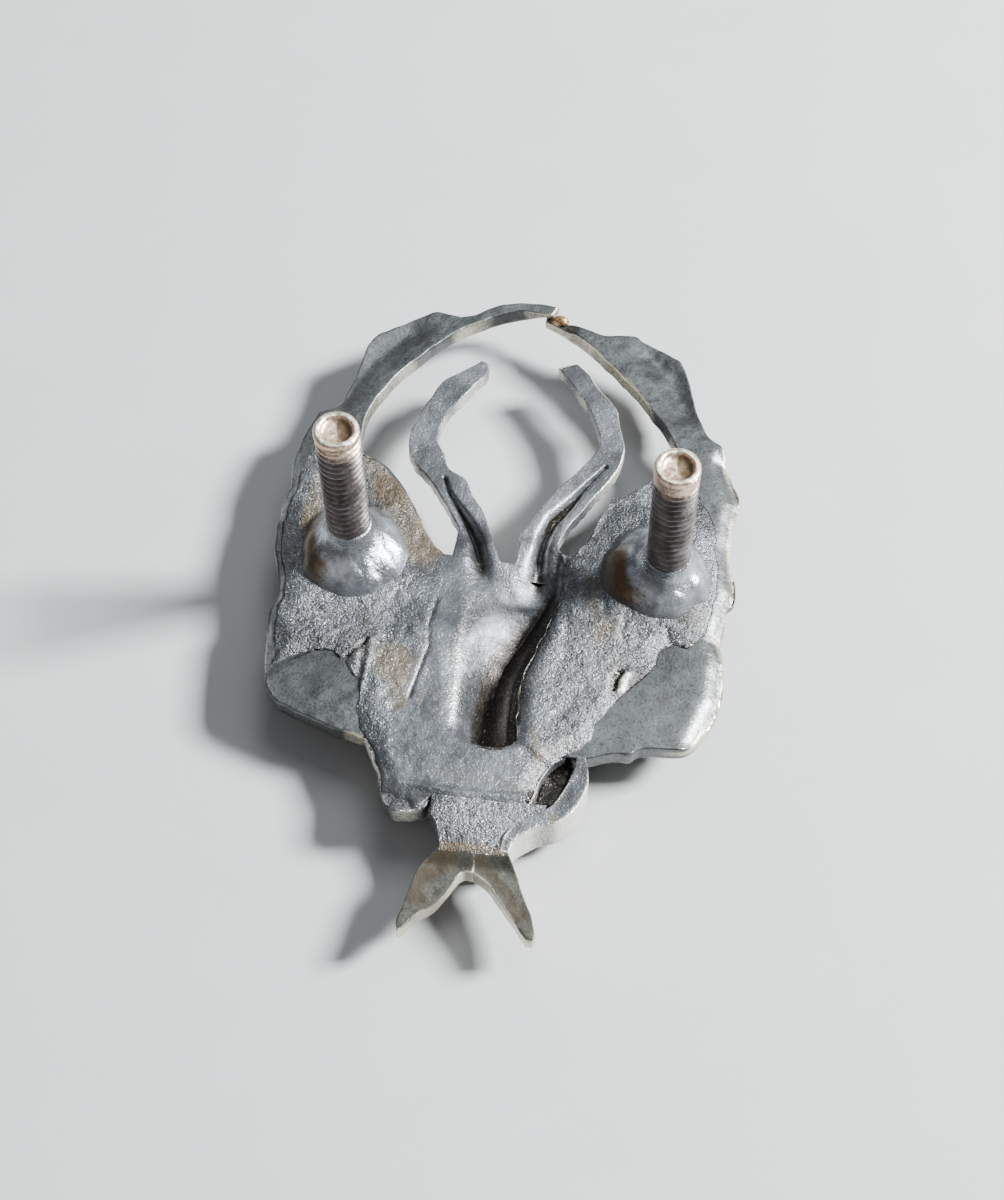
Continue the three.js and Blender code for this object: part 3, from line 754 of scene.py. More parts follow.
RIGHT_BRANCH = [
    (
        [
            [(6.1, -10.2), (7.9, -9.6), (8.9, -9.5), (9.6, -9.0), (11.4, -8.9), (12.4, -8.6), (13.0, -8.0)],
            [(13.0, -8.0), (13.7, -6.6), (14.1, -5.3), (14.3, -4.1), (14.2, -2.0), (13.9, -0.7)],
            [(13.9, -0.7), (14.1, 0.6), (14.1, 1.9), (14.6, 2.7), (14.6, 4.0), (14.1, 5.9), (14.1, 8.3)],
            [(14.1, 8.3), (14.4, 9.6), (14.4, 10.9), (13.9, 12.1), (13.4, 13.3), (13.0, 14.6)],
        ],
        [
            [(0.9, -10.2), (1.8, -9.2), (1.6, -7.0), (1.6, -5.0), (2.1, -3.0), (2.8, -1.0), (3.4, 1.2),
                (3.4, 3.5)],
            [(3.4, 3.5), (3.1, 4.8)],
            [(3.1, 4.8), (3.5, 4.6), (4.1, 4.8), (4.9, 6.4), (5.5, 7.9), (5.9, 9.3)],
            [(5.9, 9.3), (7.0, 10.0), (8.1, 10.9), (9.3, 12.4), (9.9, 14.1)],
        ],
        280,
    ),
    (
        [
            [(13.0, 14.6), (12.0, 15.4), (11.4, 16.7), (10.9, 18.1), (10.5, 19.6), (10.1, 20.7),
                (9.6, 21.7)],
            [(9.6, 21.7), (8.4, 22.4), (7.0, 23.0), (6.4, 23.4), (5.6, 23.4), (4.3, 23.3), (3.0, 23.7),
                (1.5, 24.3), (0.1, 24.95)],
        ],
        [
            [(9.9, 14.1), (9.7, 14.6), (9.0, 15.9), (8.1, 17.1), (7.0, 18.6), (5.6, 20.1), (4.4, 21.3),
                (3.3, 22.4)],
            [(3.3, 22.4), (2.3, 23.1), (1.2, 23.8), (0.1, 24.4)],
        ],
        230,
    ),
]
ROLLED_EDGE = [(13.0, -8.3), (14.1, -5.3), (14.3, -2.0), (13.9, -0.7), (14.5, 3.3), (14.1, 6.5),
    (14.4, 10.3), (13.4, 13.3)]
ROLL_WIDTH = 1.4
ROLL_DROP = 0.75


def branch_back(x, y):
    """Nearly flat, with shallow dents; lower under the coat so that the coat hides it."""
    return 0.05 * ground(x, y, 4.2, 2, 11) + 0.02 * ground(x, y, 0.7, 2, 4)


def left_branch_back(x, y):
    dished = 0.22 * mark(x, y, [(-12.6, 16.0), (-11.2, 19.4), (-9.0, 22.0)], 0.9)
    return branch_back(x, y) - dished


def right_branch_back(x, y):
    """The flat, less the roll along the outer edge and the dents beside it, thinner at the tip."""
    rolled = ROLL_DROP * (1 - np.clip(from_line(x, y, ROLLED_EDGE) / ROLL_WIDTH, 0, 1)) ** 1.7
    dents = 0.28 * mark(x, y, [(10.2, 17.2), (9.2, 20.0), (7.6, 21.8)], 1.0)
    low_tip = 0.5 * ramp(2.6, 1.2, x) * ramp(20, 22, y)
    return branch_back(x, y) - rolled - dents - low_tip - lip_roll(x, y)


def ear(x, y, side):
    """An ear lies on each plate beside the head: a wide leaf with a scooped middle."""
    root, heading = (4.2 * side, 0.4), math.radians(38 if side > 0 else 142)
    return lens(x, y, root, heading, 6.6, 3.6) - 0.5 * lens(x, y, (4.9 * side, 0.95), heading, 4.9, 2.0)


def branch_relief(stem, side):
    leaves = leaf_relief(stem)
    return lambda x, y: np.maximum(leaves(x, y), 1.5 * ear(x, y, side))


def plate_front(x, y):
    """Flat, but the left branch's end is thinned where it laps over the other."""
    return -PLATE + 0.75 * ramp(-2.0, 0.2, x) * ramp(1.4, 0.9, x) * ramp(24.4, 24.7, y)


def build_branch(name, node, sections, back, stem, side):
    rings, distance = slab(sections, back, plate_front, 44, 70, 0.1, 0.2, relief=branch_relief(stem, side))
    x, y, z = np.moveaxis(rings, -1, 0)
    tip = np.exp(-(np.hypot(x - 1.2, y - 24.6) / 1.1) ** 2)
    painted = {
        # Worn edges, plus a painted highlight down the right branch's lit outer roll.
        "wear": edge_wear(rings, distance)
        + 0.5 * ramp(-0.12, -0.5, z) * ramp(-PLATE, -0.6, z) * ramp(9, 13, x),
        "warm": 0.5 * ramp(0.1, 0.6, noise(x, y, 2.4, 2)) + tip
        + 0.6 * ramp(4.5, 6.5, y) * ramp(9.5, 7.5, y) * ramp(11.5, 12.5, x),
    }
    return make_piece(name, rings, wreath_metal, [node], painted)


build_branch("left_branch", "wreath_branch_left", LEFT_BRANCH, left_branch_back, LEFT_STEM, -1)
build_branch("right_branch", "wreath_branch_right", RIGHT_BRANCH, right_branch_back, RIGHT_STEM, 1)

# %% [markdown]
# ## The antelope's head
# The mask is a slab too: its back is the hollow, and its front is a guess, with a ridge down a long nose,
# almond eyes under brows, and two nostrils. The horns are narrow slabs with the furrows in their backs and
# raised rings across their fronts.

# %% The mask
FACE_MIDDLE = -0.1
MASK = [
    (
        [[(-4.4, -10.4), (-4.4, 3.6)]],
        [[(2.7, -10.4), (3.5, -6.0), (4.3, -1.0), (4.4, 3.6)]],
        190,
    )
]


def face_front(x, y):
    """Cheeks fall away from a nose ridge as a cosine across the face's width, on a flat of plain hair."""
    half = graded(y, (-10.1, -9.3, -8.0, -5.0, -1.0, 2.0, 3.6), (1.3, 1.95, 1.9, 2.2, 3.3, 3.5, 3.2))
    u = np.clip(np.abs(x - FACE_MIDDLE) / half, 0, 1)
    depth = graded(y, (-10.1, -9.2, -7.0, -3.0, 1.0, 3.6), (0.7, 1.1, 1.2, 1.2, 1.05, 0.7))
    form = depth * np.cos(0.5 * math.pi * u) ** 0.6
    for side in (-1, 1):
        eye = np.hypot((x - FACE_MIDDLE - side * 2.25) / 0.75,
            (y + 0.6 - 0.25 * side * (x - FACE_MIDDLE)) / 0.42)
        form = form - 0.25 * np.exp(-((eye / 1.5) ** 4)) + 0.34 * np.exp(-(eye**2))
        nostril = np.hypot((x - FACE_MIDDLE - side * 0.85) / 0.4, (y + 9.1) / 0.24)
        form = form - 0.3 * np.exp(-(nostril**2))
        brow = [(FACE_MIDDLE + side * 1.3, 0.1), (FACE_MIDDLE + side * 2.3, 0.45),
            (FACE_MIDDLE + side * 3.1, -0.1)]
        form = form + 0.16 * mark(x, y, brow, 0.22)
    hair = 0.05 * np.sin(9 * x + 2.5 * noise(x, y, 1.6, 2)) * ramp(0.75, 1.0, u)
    mouth = 0.16 * mark(x, y, [(-1.2, -9.75), (-0.1, -9.9), (1.0, -9.75)], 0.12)
    return np.maximum(-2.5 - form - hair + mouth, 0.02 - FRONT_DEPTH)


MASK_COLUMNS = 96
rings, distance = slab(MASK, head_back, face_front, MASK_COLUMNS, 70, back_round=0.01, waver=0.0)
x, y, z = np.moveaxis(rings, -1, 0)
on_back = np.arange(rings.shape[1]) < MASK_COLUMNS
painted = {
    # The wear here is a painted highlight: a bright band down the lit left slope of the hollow.
    "wear": 0.66 * mark(x, y, [(-2.3, -8.6), (-2.4, -5.5), (-2.6, -2.5), (-2.2, 0.5)], 0.85) * on_back,
    "warm": 0.3 * ramp(0.2, 0.6, noise(x, y, 1.9, 9)),
    "smooth": np.full_like(x, 1.0),
    # The dark value here is painted shade: deeper down the hollow, on the wall beyond its foot and in the
    # furrows.
    "dirt": (ramp(-0.7, -2.2, z)
        + 0.95 * ramp(-0.5, 0.3, x - graded(y, FOOT_ROWS, SLOPE_FOOT)) * ramp(4, 0, y)) * on_back
    + 0.7 * ramp(0.2, 0.6, furrows(x, y)) * on_back,
}
make_piece("antelope_mask", rings, coat_metal, ["antelope_head"], painted)

# %% The horns
LEFT_HORN = [
    (
        [
            [(-3.8, 2.9), (-3.75, 4.4), (-3.7, 6.1)],
            [(-3.7, 6.1), (-4.3, 7.0), (-5.1, 8.3), (-6.1, 9.7), (-7.3, 10.9), (-7.8, 12.0), (-7.9, 13.4),
                (-7.6, 14.9)],
            [(-7.6, 14.9), (-7.0, 16.3), (-6.3, 17.9), (-5.1, 19.0), (-3.9, 20.0)],
        ],
        [
            [(-0.3, 2.9), (-1.0, 4.4), (-1.6, 5.9), (-2.1, 7.3), (-3.0, 8.6), (-3.7, 9.9), (-4.9, 10.7),
                (-5.4, 11.9)],
            [(-5.4, 11.9), (-6.0, 13.0), (-5.9, 14.4), (-5.4, 15.7), (-4.6, 17.1), (-3.4, 18.9),
                (-3.3, 19.8)],
        ],
        300,
    )
]
RIGHT_HORN = [
    (
        [
            [(0.0, 2.9), (0.3, 4.0), (0.4, 5.9), (0.7, 6.4), (1.4, 8.0), (2.3, 9.7), (3.3, 11.1),
                (4.0, 12.1)],
            [(4.0, 12.1), (4.7, 13.4), (4.7, 14.7), (4.1, 16.3), (3.3, 17.6), (2.3, 18.9), (1.4, 20.0)],
        ],
        [
            [(3.75, 2.9), (3.3, 4.6), (2.95, 5.3), (3.1, 6.1), (3.7, 7.4), (4.7, 9.1), (5.4, 10.3),
                (6.1, 11.6), (6.4, 12.6)],
            [(6.4, 12.6), (6.5, 13.7), (6.1, 15.3), (5.7, 16.9), (4.7, 18.1), (3.6, 19.6), (2.7, 20.5)],
        ],
        300,
    )
]


def horn_back(x, y):
    """The coat's level runs out on to the horn's own flat back, less the furrow and the hollow's top end."""
    flat = 0.05 * ground(x, y, 2.2, 3, 21)
    share = ramp(6.0, 3.6, y)
    top_end = (
        ramp(5.4, 3.6, y) * hollow_depth(x, np.minimum(y, 3.6))
        + 0.2 * ramp(3.6, 3.1, y) * ramp(2.6, 2.0, x)
    )
    return np.maximum(flat * (1 - share) + coat_level(x, y) * share - furrows(x, y) - top_end, -1.15)


def horn_front(x, y):
    """Rings stand round the front, closer together towards the tip."""
    rings = 0.5 + 0.5 * np.cos(2 * math.pi * (y - 6) * (0.9 + 0.03 * y))
    return -1.35 - 0.18 * rings * ramp(5, 7, y) * ramp(19, 17, y)


for name, sections in (("horn_left", LEFT_HORN), ("horn_right", RIGHT_HORN)):
    rings, distance = slab(sections, horn_back, horn_front, 40, 20, 0.08, 0.6, 0.04)
    x, y, z = np.moveaxis(rings, -1, 0)
    painted = {
        "wear": edge_wear(rings, distance, 0.15) * ramp(3.5, 6, y),
        "warm": 0.35 * ramp(0.2, 0.7, noise(x, y, 1.6, 12)),
        # Painted shade in the furrows, stronger towards the horn's upper part.
        "dirt": (0.55 + 0.45 * ramp(6, 8, y)) * ramp(0.25, 0.6, furrows(x, y)) * (z > -1.2),
        "smooth": np.full_like(x, 0.9),
    }
    make_piece(name, rings, coat_metal, ["antelope_head"], painted)

# %% [markdown]
# ## Scroll and ribbon
# Below the head is a plain scroll whose right end turns back on itself, which leaves a dark slot inside a
# standing rim. Under it a ribbon is tied, with a short neck and two tails cut apart in a V.

# %% The scroll
def flat_scroll(x, y):
    return coat_level(x, y) - COAT - 0.02


def scroll_front(x, y):
    """A plain banner: its face dips across the middle, inside a raised border."""
    border = ramp(0.75, 0.45, np.minimum(y + 14.05, -10.3 - y))
    return -FRONT_DEPTH + 0.62 - 0.22 * border + 0.012 * (x + 0.4) ** 2


SCROLL_BACK = [
    (
        [[(-7.5, -10.25), (-6.9, -11.4), (-6.3, -12.4), (-6.1, -13.6), (-6.0, -14.04)]],
        [[(5.0, -10.25), (4.2, -10.9), (3.6, -12.2), (3.4, -13.2), (3.2, -14.04)]],
        60,
    )
]
SCROLL_TAB = [
    (
        [[(-6.0, -13.9), (-5.7, -14.6), (-4.9, -15.15)]],
        [[(-2.9, -13.9), (-3.0, -14.6), (-3.9, -15.02)]],
        30,
    )
]
SCROLL_BODY = [
    (
        [[(-7.1, -10.3), (-6.6, -11.4), (-6.0, -12.4), (-5.8, -13.5), (-5.0, -14.0)]],
        [[(5.5, -10.3), (5.1, -11.6), (4.8, -12.8), (4.3, -13.65)]],
        70,
    )
]
for name, sections, back, front in (
    ("scroll_back", SCROLL_BACK, flat_scroll, lambda x, y: np.full_like(x, -1.1)),
    ("scroll_tab", SCROLL_TAB, lambda x, y: flat_scroll(x, y) + 0.2, lambda x, y: np.full_like(x, -1.4)),
    ("scroll_body", SCROLL_BODY, lambda x, y: -0.95 + 0.12 * ground(x, y, 0.8, 2, 3), scroll_front),
):
    rings, distance = slab(sections, back, front, 60, 30)
    x, y, z = np.moveaxis(rings, -1, 0)
    painted = {
        "wear": edge_wear(rings, distance),
        "warm": 0.4 * ramp(0.1, 0.7, noise(x, y, 1.2, 3)),
        # Painted shade on the scroll's right end, down in the slot inside the rim.
        "dirt": 0.9 * ramp(-0.7, -0.85, z) * ramp(3.0, 3.4, x) * (z > -1.4),
        "smooth": np.full_like(x, 0.4),
    }
    make_piece(name, rings, coat_metal, ["base_scroll"], painted)

# %% The ribbon
NECK = [
    (
        [[(-2.75, -13.75), (-2.7, -14.6), (-2.6, -15.2), (-2.3, -15.6), (-2.1, -16.3), (-1.9, -17.0),
            (-2.05, -17.35)]],
        [[(4.2, -13.75), (4.0, -14.4), (3.0, -15.3), (2.3, -16.3), (2.0, -17.0), (2.2, -17.35)]],
        110,
    )
]
LEFT_TAIL = [
    (
        [[(-1.95, -17.15), (-2.4, -17.6), (-3.0, -18.4), (-3.3, -19.7), (-3.6, -21.0), (-3.8, -22.1),
            (-3.65, -22.6)]],
        [[(0.5, -17.1), (0.3, -18.45)],
            [(0.3, -18.45), (-0.35, -18.5), (-0.95, -19.4), (-1.7, -20.6), (-2.6, -21.35), (-3.4, -22.4)]],
        150,
    )
]
RIGHT_TAIL = [
    (
        [[(0.1, -17.1), (0.3, -18.45)],
            [(0.3, -18.45), (1.3, -19.1), (1.9, -19.8), (2.9, -21.0), (3.9, -22.3)]],
        [[(2.3, -17.15), (2.7, -17.9), (3.3, -19.1), (4.0, -20.6), (4.4, -21.9), (4.3, -22.3)]],
        150,
    )
]
RIM = [
    (
        [[(5.72, -10.2), (5.5, -11.4), (5.2, -12.4), (4.8, -13.3), (4.3, -13.95), (3.4, -14.5),
            (2.6, -15.1), (1.95, -15.9), (1.7, -17.0)]],
        [[(6.2, -10.2), (6.5, -11.2), (6.5, -12.3), (6.2, -13.3), (5.75, -14.2), (5.1, -14.8),
            (4.1, -15.15), (3.2, -15.7), (2.5, -16.4), (2.3, -17.1)]],
        160,
    )
]


def ribbon_back(x, y):
    """The neck crowns slightly; the tails lean down away from it."""
    lean = 0.35 * ramp(-17.0, -18.2, y) + 0.1 * ramp(-19, -22, y)
    return 0.035 * ground(x, y, 1.5, 3, 31) - lean + 0.3 * ramp(-17.0, -14.4, y)


def rim_back(x, y):
    return 0.32 + 0.05 * ground(x, y, 1.1, 2, 14) - 0.3 * ramp(-15.5, -17, y)


def tail_front(x, y):
    """Shallow pleats run down each tail."""
    return -1.7 + 0.06 * np.sin(4.2 * (np.abs(x - 0.3) - 0.55 * np.abs(y + 18.4)))


for name, sections, back, front, metal in (
    ("ribbon_neck", NECK, ribbon_back, tail_front, coat_metal),
    ("ribbon_tail_left", LEFT_TAIL, ribbon_back, tail_front, ribbon_metal),
    ("ribbon_tail_right", RIGHT_TAIL, ribbon_back, tail_front, ribbon_metal),
    ("scroll_rim", RIM, rim_back, lambda x, y: np.full_like(x, -2.55), coat_metal),
):
    rings, distance = slab(sections, back, front, 34, 24, 0.06, 0.15, 0.03)
    x, y, z = np.moveaxis(rings, -1, 0)
    brown = (
        mark(x, y, [(-1.4, -17.6), (-2.7, -19.2), (-3.0, -20.4)], 0.75)
        + mark(x, y, [(4.6, -14.6), (5.3, -15.0)], 0.5)
    )
    brown = brown + 0.9 * mark(x, y, [(0.8, -17.9), (2.4, -19.4), (3.4, -21.0)], 0.65)
    painted = {
        # The rim's extra wear and the tails' walls are painted highlights where they face the light.
        "wear": edge_wear(rings, distance) + 0.4 * (name == "scroll_rim")
        + 0.5 * ("tail" in name) * ramp(-0.5, -0.8, z),
        "warm": brown + 0.3 * ramp(0.1, 0.6, noise(x, y, 1.1, 17))
        + 0.8 * ramp(-16.2, -17.0, y) * (name == "ribbon_neck"),
        "smooth": np.full_like(x, 0.9 * (name == "scroll_rim")),
        # Painted shade, darker down the rim's walls towards the floor of the slot.
        "dirt": 0.7 * ramp(-1.2, -2.0, z) * (name == "scroll_rim"),
    }
    make_piece(name, rings, metal, ["ribbon_tie"], painted)

# %% [markdown]
# ## The rough coat
# The coat is one sheet that runs round three sides of the hollow, so its rails do too: A follows the outer
# edge and B the hollow's. Its edges sink a little below the plates, which leaves the ragged line that a
# pour of solder ends in. Where the rails step inwards, a smooth facet of bare plate is left uncovered.

# %% The coat
COAT_SECTIONS = [
    (
        [[(-13.3, 13.2), (-13.9, 12.9), (-14.5, 11.2), (-14.8, 9.7), (-14.7, 8.0), (-15.0, 5.9),
            (-15.0, 3.5), (-14.4, 1.4), (-14.1, -0.7)]],
        [[(-10.9, 11.1), (-9.5, 10.45), (-8.3, 9.3), (-7.3, 8.0), (-6.3, 6.3), (-5.3, 4.6), (-4.3, 3.8)]],
        150,
    ),
    ([[(-14.1, -0.7), (-14.4, -1.9), (-14.2, -4.3), (-14.2, -6.2)]],
        [[(-4.3, 3.8), (-4.06, 3.3), (-4.06, 1.2)]], 56),
    ([[(-14.2, -6.2), (-12.5, -4.85)], [(-12.5, -4.85), (-12.0, -4.5), (-10.3, -4.3)]],
        [[(-4.06, 1.2), (-4.06, -3.2)]], 56),
    ([[(-10.3, -4.3), (-8.8, -5.9), (-8.25, -7.0), (-8.3, -8.3), (-7.9, -9.7)]],
        [[(-4.06, -3.2), (-4.06, -7.2)]], 60),
    ([[(-7.9, -9.7), (-6.9, -11.1), (-6.2, -12.4), (-6.0, -13.5), (-5.6, -14.5), (-4.9, -15.0)]],
        [[(-4.06, -7.2), (-4.06, -9.4), (-3.3, -10.02)]], 60),
    ([[(-4.9, -15.0), (-3.9, -14.9), (-3.1, -14.6)], [(-3.1, -14.6), (-2.8, -14.0)],
        [(-2.8, -14.0), (3.1, -13.9)]], [[(-3.3, -10.02), (1.1, -10.12)]], 100),
    ([[(3.1, -13.9), (3.3, -13.2), (3.5, -12.2), (4.1, -10.9), (5.2, -10.0), (6.4, -9.4)]],
        [[(1.1, -10.12), (1.85, -9.1), (1.7, -7.6)]], 56),
    ([[(6.4, -9.4), (7.0, -7.4), (7.9, -5.6), (9.1, -4.2), (9.5, -3.6), (9.9, -2.9), (10.0, -2.1),
        (10.4, -1.7)]], [[(1.7, -7.6), (1.7, -5.0), (2.2, -3.0), (2.75, -1.4)]], 76),
    ([[(10.4, -1.7), (11.1, -1.4), (12.0, -1.5), (12.8, -0.4)]], [[(2.75, -1.4), (3.3, 0.6)]], 36),
    (
        [[(12.8, -0.4), (13.2, 1.7), (13.4, 3.9), (13.1, 5.8), (13.0, 7.4), (12.5, 8.9), (11.5, 10.6)]],
        [[(3.3, 0.6), (3.5, 1.5), (3.5, 3.6), (3.55, 4.5)],
            [(3.55, 4.5), (4.2, 4.75), (5.0, 6.3), (5.6, 7.9), (6.0, 9.2)],
            [(6.0, 9.2), (7.1, 9.95), (8.2, 10.9), (9.1, 12.0)]],
        150,
    ),
]


COAT_COLUMNS = 68
rings, distance = slab(COAT_SECTIONS, coat_level, lambda x, y: np.full_like(x, -0.2), COAT_COLUMNS, 12,
    0.12, 0.02, 0.09)
x, y, z = np.moveaxis(rings, -1, 0)
outer_half = np.zeros(rings.shape[1])
outer_half[:COAT_COLUMNS] = ramp(0.62, 0.4, np.linspace(0, 1, COAT_COLUMNS))
along_seam = ramp(-12.6, -13.4, y) * ramp(-4.4, -3.6, x)
ragged = 0.12 * np.exp(-distance / 0.1) * (1 + 0.8 * noise(x, y, 0.5, 2))
thinned = 0.24 * (1 - ramp(0, 1.2, distance)) * outer_half * (1 - along_seam)
rings[..., 2] = np.where(z > -0.15, z - ragged - thinned, z)
painted = {
    "wear": 1.4 * mark(x, y, CHIP, 0.3) + 0.9 * mark(x, y, [(2.0, -2.9), (2.15, -2.7)], 0.16)
    + 0.35 * np.exp(-distance / 0.15),
    "warm": 0.9 * mark(x, y, [(-8.0, 8.0), (-6.5, 5.0)], 2.2)
    + 0.55 * mark(x, y, [(-12.5, 9), (-13.2, 2.5)], 1.6)
    + 0.6 * ramp(0.1, 0.6, noise(x, y, 2.6, 4)) + 0.5 * mark(x, y, [(11.6, 6.8), (12.8, 8.2)], 1.1)
    + 0.9 * mark(x, y, [(-6.4, -4.6), (-5.6, -7.8)], 0.9)
    + 0.8 * mark(x, y, [(2.8, -8.8), (3.6, -11.8)], 0.9)
    + 0.7 * mark(x, y, [(5.4, 2.8), (5.9, -0.6)], 0.9)
    + 0.6 * mark(x, y, [(-3.0, -12.2), (2.6, -12.8)], 0.8),
    # Dark in the pit, along cracks and the seam and at a small spot; painted shade inside the slot and along
    # the hollow's lip.
    "dirt": 1.3 * mark(x, y, PIT, 0.26) + 0.5 * mark(x, y, CRACKS[2][0], 0.12)
    + 0.9 * mark(x, y, [(-9.7, -5.0), (-8.3, -3.3)], 0.12)
    + 0.7 * mark(x, y, [(11.9, -1.3), (12.2, -1.0)], 0.3)
    + 0.6 * mark(x, y, [(-3.4, -13.95), (2.5, -13.95)], 0.14)
    + 1.1 * mark(x, y, [(4.4, -10.9), (3.6, -12.4), (3.2, -13.7)], 0.42)
    + 0.8 * mark(x, y, [(1.75, -8.0), (1.75, -5.0), (2.25, -3.0), (3.3, 0.6)], 0.3),
    "smooth": 0.6 * ramp(-7.5, -5.0, x) * ramp(3.5, 1.5, x) + 0.3 * ramp(-3, -7, y),
}
make_piece("coat_of_solder", rings, coat_metal, ["rear_coat"], painted)

# %% [markdown]
# ## Studs
# A stud is a threaded rod, burred over at its end. The thread is a helix, and its hand is a guess: the
# radius at any height and angle depends only on the height less the pitch times the turn. The crests are
# flattened. Above them come a chamfer, a bright rim and a shallow cup.

# %% The studs
THREAD_PITCH = 0.53
THREAD_DEPTH = 0.2
STUD_RADIUS = 1.4
TURN = np.linspace(0, 2 * math.pi, 96, endpoint=False)


def stud_rings(axis, reach, smooth_end, lean):
    """Rings up the outside, over the rim and down into the cup; radius = rod - thread(height, angle)."""
    shank = np.linspace(0.0, reach - 0.12, 380)[:, None]
    phase = (shank / THREAD_PITCH - TURN / (2 * math.pi)) % 1
    groove = np.clip(1.45 * np.abs(2 * phase - 1) - 0.2, 0, 1)
    threaded = ramp(reach - smooth_end, reach - smooth_end - 0.5, shank) * (0.82
        + 0.25 * noise(TURN * 2, shank, 1.6, 3))
    radius = STUD_RADIUS - THREAD_DEPTH * groove * threaded + 0.012 * noise(TURN * 1.5, shank, 0.4, 6)
    burr = 0.05 * np.exp(-((reach - 0.35 - shank) / 0.22) ** 2) * (1 + noise(TURN * 1.2, shank * 0, 0.8, 2))
    radius = radius + burr
    level = shank + 0 * TURN
    end = [
        (1.39, -0.10), (1.36, -0.05), (1.31, -0.015), (1.24, 0.0), (1.15, 0.0), (1.07, -0.02),
        (1.01, -0.07), (0.96, -0.15), (0.90, -0.24), (0.80, -0.31), (0.62, -0.36), (0.40, -0.39),
        (0.2, -0.40), (0.03, -0.40),
    ]
    steps = np.array(end)
    ragged = 0.05 * noise(3 * np.cos(TURN), 3 * np.sin(TURN), 1.0, 4) * ramp(1.4, 0.9, steps[:, :1])
    cap_radius = steps[:, :1] + ragged * (steps[:, :1] > 0.3)
    cap_level = (
        reach + steps[:, 1:] + 0.05 * noise(cap_radius * np.cos(TURN), cap_radius * np.sin(TURN), 0.35, 5)
    )
    radius, level = np.vstack([radius, cap_radius]), np.vstack([level, cap_level])
    share = level / reach
    x = axis[0] + lean * share + radius * np.cos(TURN)
    y = axis[1] + radius * np.sin(TURN)
    root = np.vstack([groove * threaded, np.zeros_like(cap_radius)])
    in_cup = np.vstack([0 * phase, ramp(1.05, 0.85, cap_radius)])
    on_rim = np.vstack([0 * phase, ramp(1.36, 1.3, cap_radius) * ramp(0.98, 1.05, cap_radius)])
    return np.stack([x, y, level], -1), root, in_cup, on_rim


def build_stud(name, axis, reach, smooth_end, lean):
    rings, root, in_cup, on_rim = stud_rings(axis, reach, smooth_end, lean)
    below_end = reach - rings[..., 2]
    crest = (1 - root) * (0.35 + 0.3 * noise(TURN * 1.5, rings[..., 2], 1.5, 7))
    right_side = ramp(-0.1, 0.6, np.cos(TURN - 0.3)) + 0 * root
    painted = {
        "root": root,
        "cut": ramp(2.6, 0.3, below_end) + 0.3 * in_cup,
        "wear": np.maximum(on_rim, 0.55 * crest),
        # Painted shade in the cup, darkest on its right side.
        "dirt": in_cup * (0.35 + 0.6 * right_side),
    }
    return make_piece(name, rings, thread_metal, [name.replace("threaded_", "")], painted)


build_stud("threaded_stud_left", STUD_LEFT, LEFT_REACH, 0.35, -0.25)
build_stud("threaded_stud_right", STUD_RIGHT, RIGHT_REACH, 1.0, 0.0)

# %% [markdown]
# ## Collars of solder
# Solder wets the stud's foot and freezes in a drop: round in plan but never a circle, domed, and drawn up
# the shank in a thin fillet. It is a hoop of rings round the stud: each ring is one angle, and runs from the
# outer edge over the dome, up the fillet, down the bore and back underneath.

# %% The collars
COLLAR_PROFILE = [
    (1.05, -0.2), (1.0, -0.02), (0.95, 0.12), (0.89, 0.32), (0.82, 0.58), (0.74, 0.84), (0.65, 1.06),
    (0.56, 1.24),
    (0.47, 1.39), (0.39, 1.52), (0.315, 1.65), (0.25, 1.8), (0.195, 1.97), (0.15, 2.15), (0.11, 2.35),
    (0.08, 2.6), (0.05, 2.9),
]


def collar_rings(axis, middle, radius, height):
    """Each point is between the shank, at share 0, and the drop's wandering outer edge, at share 1."""
    profile = rail([COLLAR_PROFILE], 60)
    share, level = profile[:, 0], profile[:, 1] * height
    bore = STUD_RADIUS - 0.12
    share, level = np.append(share, [0.0, 0.0]), np.append(level, [level[-1] + 0.02, -0.15])
    turn = np.linspace(0, 2 * math.pi, 144, endpoint=False)[:, None]
    wander = radius * (1 + 0.07 * noise(2 * np.cos(turn), 2 * np.sin(turn), 1.3, 2)
        + 0.03 * noise(5 * np.cos(turn), 5 * np.sin(turn), 1.1, 4))
    outer_x, outer_y = middle[0] + wander * np.cos(turn), middle[1] + wander * np.sin(turn)
    inner_x, inner_y = axis[0] + bore * np.cos(turn), axis[1] + bore * np.sin(turn)
    x = inner_x + (outer_x - inner_x) * share
    y = inner_y + (outer_y - inner_y) * share
    lumps = 0.13 * noise(x, y, 1.5, 9) + 0.05 * ground(x, y, 0.6, 2, 3)
    z = COAT + level + lumps * ramp(0.02, 0.2, share) * (level > -0.1)
    return np.stack([x, y, z + 0 * x], -1), share + 0 * x


def build_collar(name, node, axis, middle, radius, height, brown_and_shaded_side):
    rings, share = collar_rings(axis, middle, radius, height)
    x, y, z = np.moveaxis(rings, -1, 0)
    # Brown on the side away from the light: partly a stain, partly painted shade.
    aside = np.arctan2(y - middle[1], x - middle[0]) - brown_and_shaded_side
    brown = ramp(0.1, 0.95, np.cos(aside)) * ramp(0.2, 0.6, share)
    return make_piece(name, rings, solder_metal, [node],
        {"warm": brown, "foot": ramp(0.7, 1.0, share)}, hoop=True, crease=70)


build_collar("collar_left", "solder_collar_left", STUD_LEFT, (-10.2, 3.05), 3.8, 1.0, math.radians(190))
build_collar("collar_right", "solder_collar_right", STUD_RIGHT, (9.3, 3.6), 3.7, 0.92, math.radians(200))

# %% [markdown]
# ## The bead at the top
# The branches' tips are joined by a small bead of bright brass that sits on the thinner tip.

